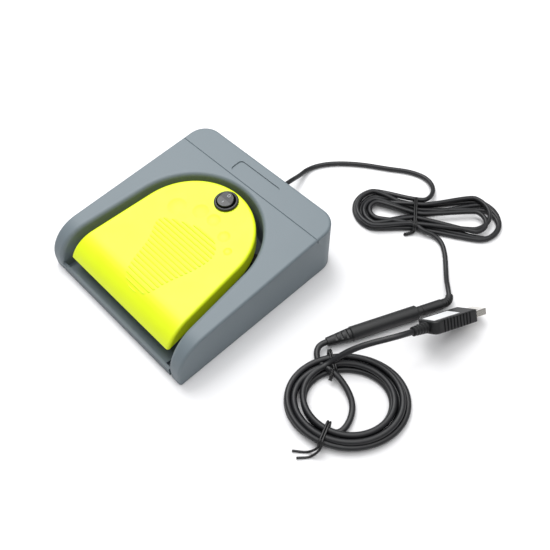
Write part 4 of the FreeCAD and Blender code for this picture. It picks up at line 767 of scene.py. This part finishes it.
# ---- Ties ---------------------------------------------------------------------------------
@dataclass
class TwistTie:
    """A coated wire tie: two wraps round a bundle, and its ends.

    Attributes:
        name: Name of the piece.
        node: The band in the frame that it stands for.
        facing: Direction of the bundle under the tie, in degrees.
        half_width: Half of the bundle's width.
        height: Height of the wraps above the floor.
        ends: Routes of the wire's ends from the knot.
        wire: Diameter of the coated wire.
        twists: Turns that two ends make round each other along one route; 0 for loose ends.
        bend: Radius of the wrap's corners.
        spacing: Distance of each wrap from the tie's middle, in wire diameters.
    """

    name: str
    node: str
    facing: float
    half_width: float
    ends: tuple[tuple[Point, ...], ...]
    height: float = 9.0
    wire: float = 1.3
    twists: float = 0.0
    bend: float = 2.6
    spacing: float = 0.52

    def wrap(self, offset: float) -> list[Vector]:
        """One closed wrap round the bundle.

        Args:
            offset: Distance along the bundle from the tie's middle, in millimetres.

        Returns:
            Points of the wrap in metres.
        """
        low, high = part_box(self.node)
        turn = math.radians(self.facing)
        along = Vector((math.cos(turn), math.sin(turn), 0))
        across = Vector((-along.y, along.x, 0))
        foot = Vector(((low.x + high.x) / 2, (low.y + high.y) / 2, 0)) + along * offset * MM
        half = self.half_width * MM
        bottom, top = self.wire / 2 * MM, (self.height - self.wire / 2) * MM
        bend = self.bend * MM
        line: list[Vector] = []
        for x, z, start in (
            (half - bend, bottom + bend, -90),
            (half - bend, top - bend, 0),
            (bend - half, top - bend, 90),
            (bend - half, bottom + bend, 180),
        ):
            for i in range(6):
                swing = math.radians(start + 90 * i / 5)
                up = Vector((0, 0, z + bend * math.sin(swing)))
                line.append(foot + across * (x + bend * math.cos(swing)) + up)
        return line

    def end_lines(self) -> list[list[Vector]]:
        """The wire's ends: as laid, or two wound round each other along one route.

        Returns:
            One line of points in metres for each end.
        """
        laid = [smooth_line(route) for route in self.ends]
        if not self.twists:
            return laid
        lines: list[list[Vector]] = [[], []]
        line = laid[0]
        for i, here in enumerate(line):
            along = (line[min(i + 1, len(line) - 1)] - line[max(i - 1, 0)]).normalized()
            side = along.orthogonal().normalized()
            up = side.cross(along)
            turn = math.tau * self.twists * i / (len(line) - 1)
            for k in (0, 1):
                swing = turn + math.pi * k
                out = side * math.cos(swing) + up * math.sin(swing)
                lines[k].append(here + out * self.wire * 0.5 * MM)
        return lines

    def build(self, wardrobe: Wardrobe) -> bpy.types.Object:
        """Make the tie and let it stand for its band.

        Args:
            wardrobe: Where its finish comes from.

        Returns:
            The tie, as one mesh.
        """
        radius = self.wire / 2 * MM
        parts = [sweep(self.name, self.wrap(-self.wire * self.spacing), radius, closed=True)]
        parts.append(sweep(self.name + "_wrap", self.wrap(self.wire * self.spacing), radius, closed=True))
        parts += [sweep(self.name + "_end", line, radius) for line in self.end_lines()]
        with bpy.context.temp_override(active_object=parts[0], selected_editable_objects=parts):
            bpy.ops.object.join()
        tie = parts[0]
        wardrobe.dress(tie, PVC_TIE)
        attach(tie, "base")
        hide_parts(self.node)
        return tie


# ---- Sub-assemblies -----------------------------------------------------------------------
@dataclass
class Leads:
    """Both cables with their ties."""

    wardrobe: Wardrobe
    gland_mouth: Point = (0.0, 85.4, 12.0)
    socket_mouth: Point = (113.4, 14.72, 5.0)

    def ties(self) -> dict[str, bpy.types.Object]:
        """Make the three ties.

        Returns:
            The ties by name.
        """
        made = (
            TwistTie(
                "hank_twist_tie",
                "hank_tie",
                37.1,
                14.9,
                (((93.2, 129.6, 2.2), (91.6, 126.4, 1.5), (89.6, 123.4, 1.4)),),
                twists=2.5,
            ),
            TwistTie(
                "coil_twist_tie_rear",
                "coil_tie_rear",
                57.9,
                8.1,
                (((130.2, 1.6, 8.6), (132.4, -0.8, 7.0), (133.4, -3.4, 3.6)),),
                twists=2.5,
            ),
            TwistTie(
                "coil_twist_tie_front",
                "coil_tie_front",
                21.8,
                8.1,
                (
                    ((157.6, -37.6, 8.8), (158.9, -41.4, 5.6), (155.4, -46.4, 1.0), (148.4, -52.5, 0.9)),
                    ((158.8, -37.8, 8.8), (160.6, -42.0, 5.6), (158.4, -47.6, 1.0), (153.3, -53.8, 0.9)),
                ),
                wire=1.5,
            ),
        )
        return {tie.name: tie.build(self.wardrobe) for tie in made}

    def build(self) -> list[bpy.types.Object]:
        """Make the cables and their ties.

        Returns:
            The cables and ties.
        """
        ties = self.ties()
        first, second = HousingCable(), UsbCable()
        housing_cable, usb_cable = first.build(), second.build()
        for piece in (housing_cable, usb_cable):
            self.wardrobe.dress(piece, PVC_JACKET)
            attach(piece, "base")
        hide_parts("cable_lead", "cable_hank", "cable_drop")
        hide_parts("cable_to_coil", "cable_coil", "cable_to_usb")
        return [housing_cable, usb_cable, *ties.values()]


@dataclass
class PressedParts:
    """Springs and wires under the pedal; the real ones shorten as it goes down, these copies keep their
    shape.

    Attributes:
        wardrobe: Where the finishes come from.
        nodes: The frame's nodes by name.
        seat_travel: How far the upper end goes back and up, which sets the path's direction; not used.
        shortening: Length lost at full press, a little more than the seat's travel; not used.
    """

    wardrobe: Wardrobe
    nodes: dict[str, bpy.types.Object]
    seat_travel: tuple[float, float] = (1.1, -6.4)
    shortening: float = 6.6

    def build(self) -> list[bpy.types.Object]:
        """Copy each node's mesh into a piece of its own.

        Returns:
            The pieces.
        """
        return [
            self.piece("return_spring_left", "left_return_spring", SPRING_STEEL, "steel_spring"),
            self.piece("return_spring_right", "right_return_spring", SPRING_STEEL, "steel_spring"),
            self.piece("rocker_wires", "rocker_wire_pair", WHITE_PVC, "wire_white"),
        ]

    def piece(self, node: str, name: str, finish: Finish, slot: str) -> bpy.types.Object:
        """One piece that stands for a node, copied from its mesh.

        Args:
            node: The node it stands for.
            name: Name of the piece.
            finish: Its finish.
            slot: Its material slot; not used.

        Returns:
            The piece.
        """
        made = link_object(bpy.data.objects.new(name, self.nodes[node].data.copy()))
        self.wardrobe.dress(made, finish)
        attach(made, "base")
        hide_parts(node)
        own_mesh(made)
        return made


@dataclass
class RockerMarks:
    """Pad-printed state marks on the round rocker: a ring at one side, a bar at the other."""

    wardrobe: Wardrobe
    button: bpy.types.Object
    ring_radius: float = 0.95
    bar_half: float = 1.0
    line: float = 0.22
    out_from_middle: float = 2.9

    def build(self) -> list[bpy.types.Object]:
        """Lay both marks on the button.

        Returns:
            The two marks.
        """
        mesh = self.button.data
        faces = [tuple(p.vertices) for p in mesh.polygons]
        tree = BVHTree.FromPolygons([v.co for v in mesh.vertices], faces)
        low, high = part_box("rocker_button")
        x, y = (low.x + high.x) / 2, (low.y + high.y) / 2
        ring = [
            (self.ring_radius * math.cos(a), self.out_from_middle + self.ring_radius * math.sin(a))
            for a in (math.tau * i / 28 for i in range(28))
        ]
        bar = [(0.0, -self.out_from_middle + self.bar_half * (i / 5 - 1)) for i in range(11)]
        made = []
        for name, outline, closed in (("rocker_mark_ring", ring, True), ("rocker_mark_bar", bar, False)):
            line = []
            for dx, dy in outline:
                place, normal = surface_point(tree, x + dx * MM, y + dy * MM)
                line.append(place - normal * self.line * 0.6 * MM)
            mark = self.wardrobe.dress(sweep(name, line, self.line * MM, closed, 8), PAD_PRINT)
            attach(mark, "rocker")
            made.append(mark)
        return made


@dataclass
class Carried:
    """Nodes of the frame that keep their shape and get their finish here."""

    wardrobe: Wardrobe
    nodes: dict[str, bpy.types.Object]

    def build(self) -> None:
        """Dress every node that has a finish."""
        for name, finish in NODE_FINISH.items():
            self.wardrobe.dress(self.nodes[name], finish)
            LOG.info("%s: %s, %s", name, finish.name, finish.skin.value)


# ---- Studio -------------------------------------------------------------------------------
@dataclass
class Studio:
    """White floor, soft light and the camera."""

    camera_place: Point = (251.5, -165.1, 392.4)
    look_direction: Point = (-0.4197, 0.4053, -0.8122)
    roll: float = -0.42
    lens: float = 44.75
    floor_half: float = 2200.0
    key_place: Point = (-520.0, 180.0, 900.0)
    key_size: float = 700.0
    key_power: float = 8.0
    top_place: Point = (120.0, 60.0, 1300.0)
    top_size: float = 1600.0
    top_power: float = 15.0
    sky: float = 0.29
    aim_place: Point = (50, 30, 0)

    def floor(self) -> None:
        """Seamless white floor."""
        half = self.floor_half
        corners = metres([(-half, -half, 0), (half, -half, 0), (half, half, 0), (-half, half, 0)])
        floor = mesh_object("studio_floor", corners, [(0, 1, 2, 3)])
        floor.data.materials.append(BACKDROP_PAPER.build())

    def area_light(self, name: str, place: Point, size: float, power: float) -> None:
        """Square soft light aimed at the object.

        Args:
            name: Name of the light.
            place: Its place.
            size: Length of its side.
            power: Power in watts.
        """
        light = bpy.data.lights.new(name, "AREA")
        light.shape = "SQUARE"
        light.size = size * MM
        light.energy = power
        obj = link_object(bpy.data.objects.new(name, light))
        obj.location = Vector(place) * MM
        aim = Vector(self.aim_place) * MM - obj.location
        obj.rotation_mode = "QUATERNION"
        obj.rotation_quaternion = aim.to_track_quat("-Z", "Y")

    def camera(self) -> None:
        """Camera at a standing person's view over the pedal's front corner."""
        data = bpy.data.cameras.new("camera")
        data.sensor_width = 36.0
        data.lens = self.lens
        data.clip_start, data.clip_end = 0.01, 20.0
        obj = link_object(bpy.data.objects.new("camera", data))
        obj.location = Vector(self.camera_place) * MM
        obj.rotation_mode = "QUATERNION"
        level = Vector(self.look_direction).to_track_quat("-Z", "Y")
        obj.rotation_quaternion = level @ Quaternion((0, 0, 1), math.radians(self.roll))
        bpy.context.scene.camera = obj

    def world(self) -> None:
        """Even pale surroundings."""
        world = bpy.data.worlds.new("studio")
        world.use_nodes = True
        world.node_tree.nodes.clear()
        light = add_node(
            world.node_tree, "ShaderNodeBackground", {"Color": (1.0, 1.0, 1.0, 1.0), "Strength": self.sky}
        )
        add_node(world.node_tree, "ShaderNodeOutputWorld", links={"Surface": light.outputs["Background"]})
        bpy.context.scene.world = world

    def build(self) -> None:
        """Set up floor, lights, surroundings and camera."""
        self.floor()
        self.area_light("key_light", self.key_place, self.key_size, self.key_power)
        self.area_light("top_light", self.top_place, self.top_size, self.top_power)
        self.world()
        self.camera()
        bpy.context.scene.view_settings.view_transform = "Standard"


def main() -> None:
    """Load the frame, then build the cables, finishes and studio in order."""
    logging.basicConfig(level=logging.INFO, format="%(message)s")
    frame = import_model()
    nodes = frame["nodes"]
    wardrobe = Wardrobe()
    Studio().build()
    Carried(wardrobe, nodes).build()
    pieces = Leads(wardrobe).build()
    pieces += PressedParts(wardrobe, nodes).build()
    pieces += RockerMarks(wardrobe, nodes["rocker_button"]).build()
    for piece in pieces:
        LOG.info("%s: %s", piece.name, piece.data.materials[0].name)


if __name__ == "__main__":
    main()
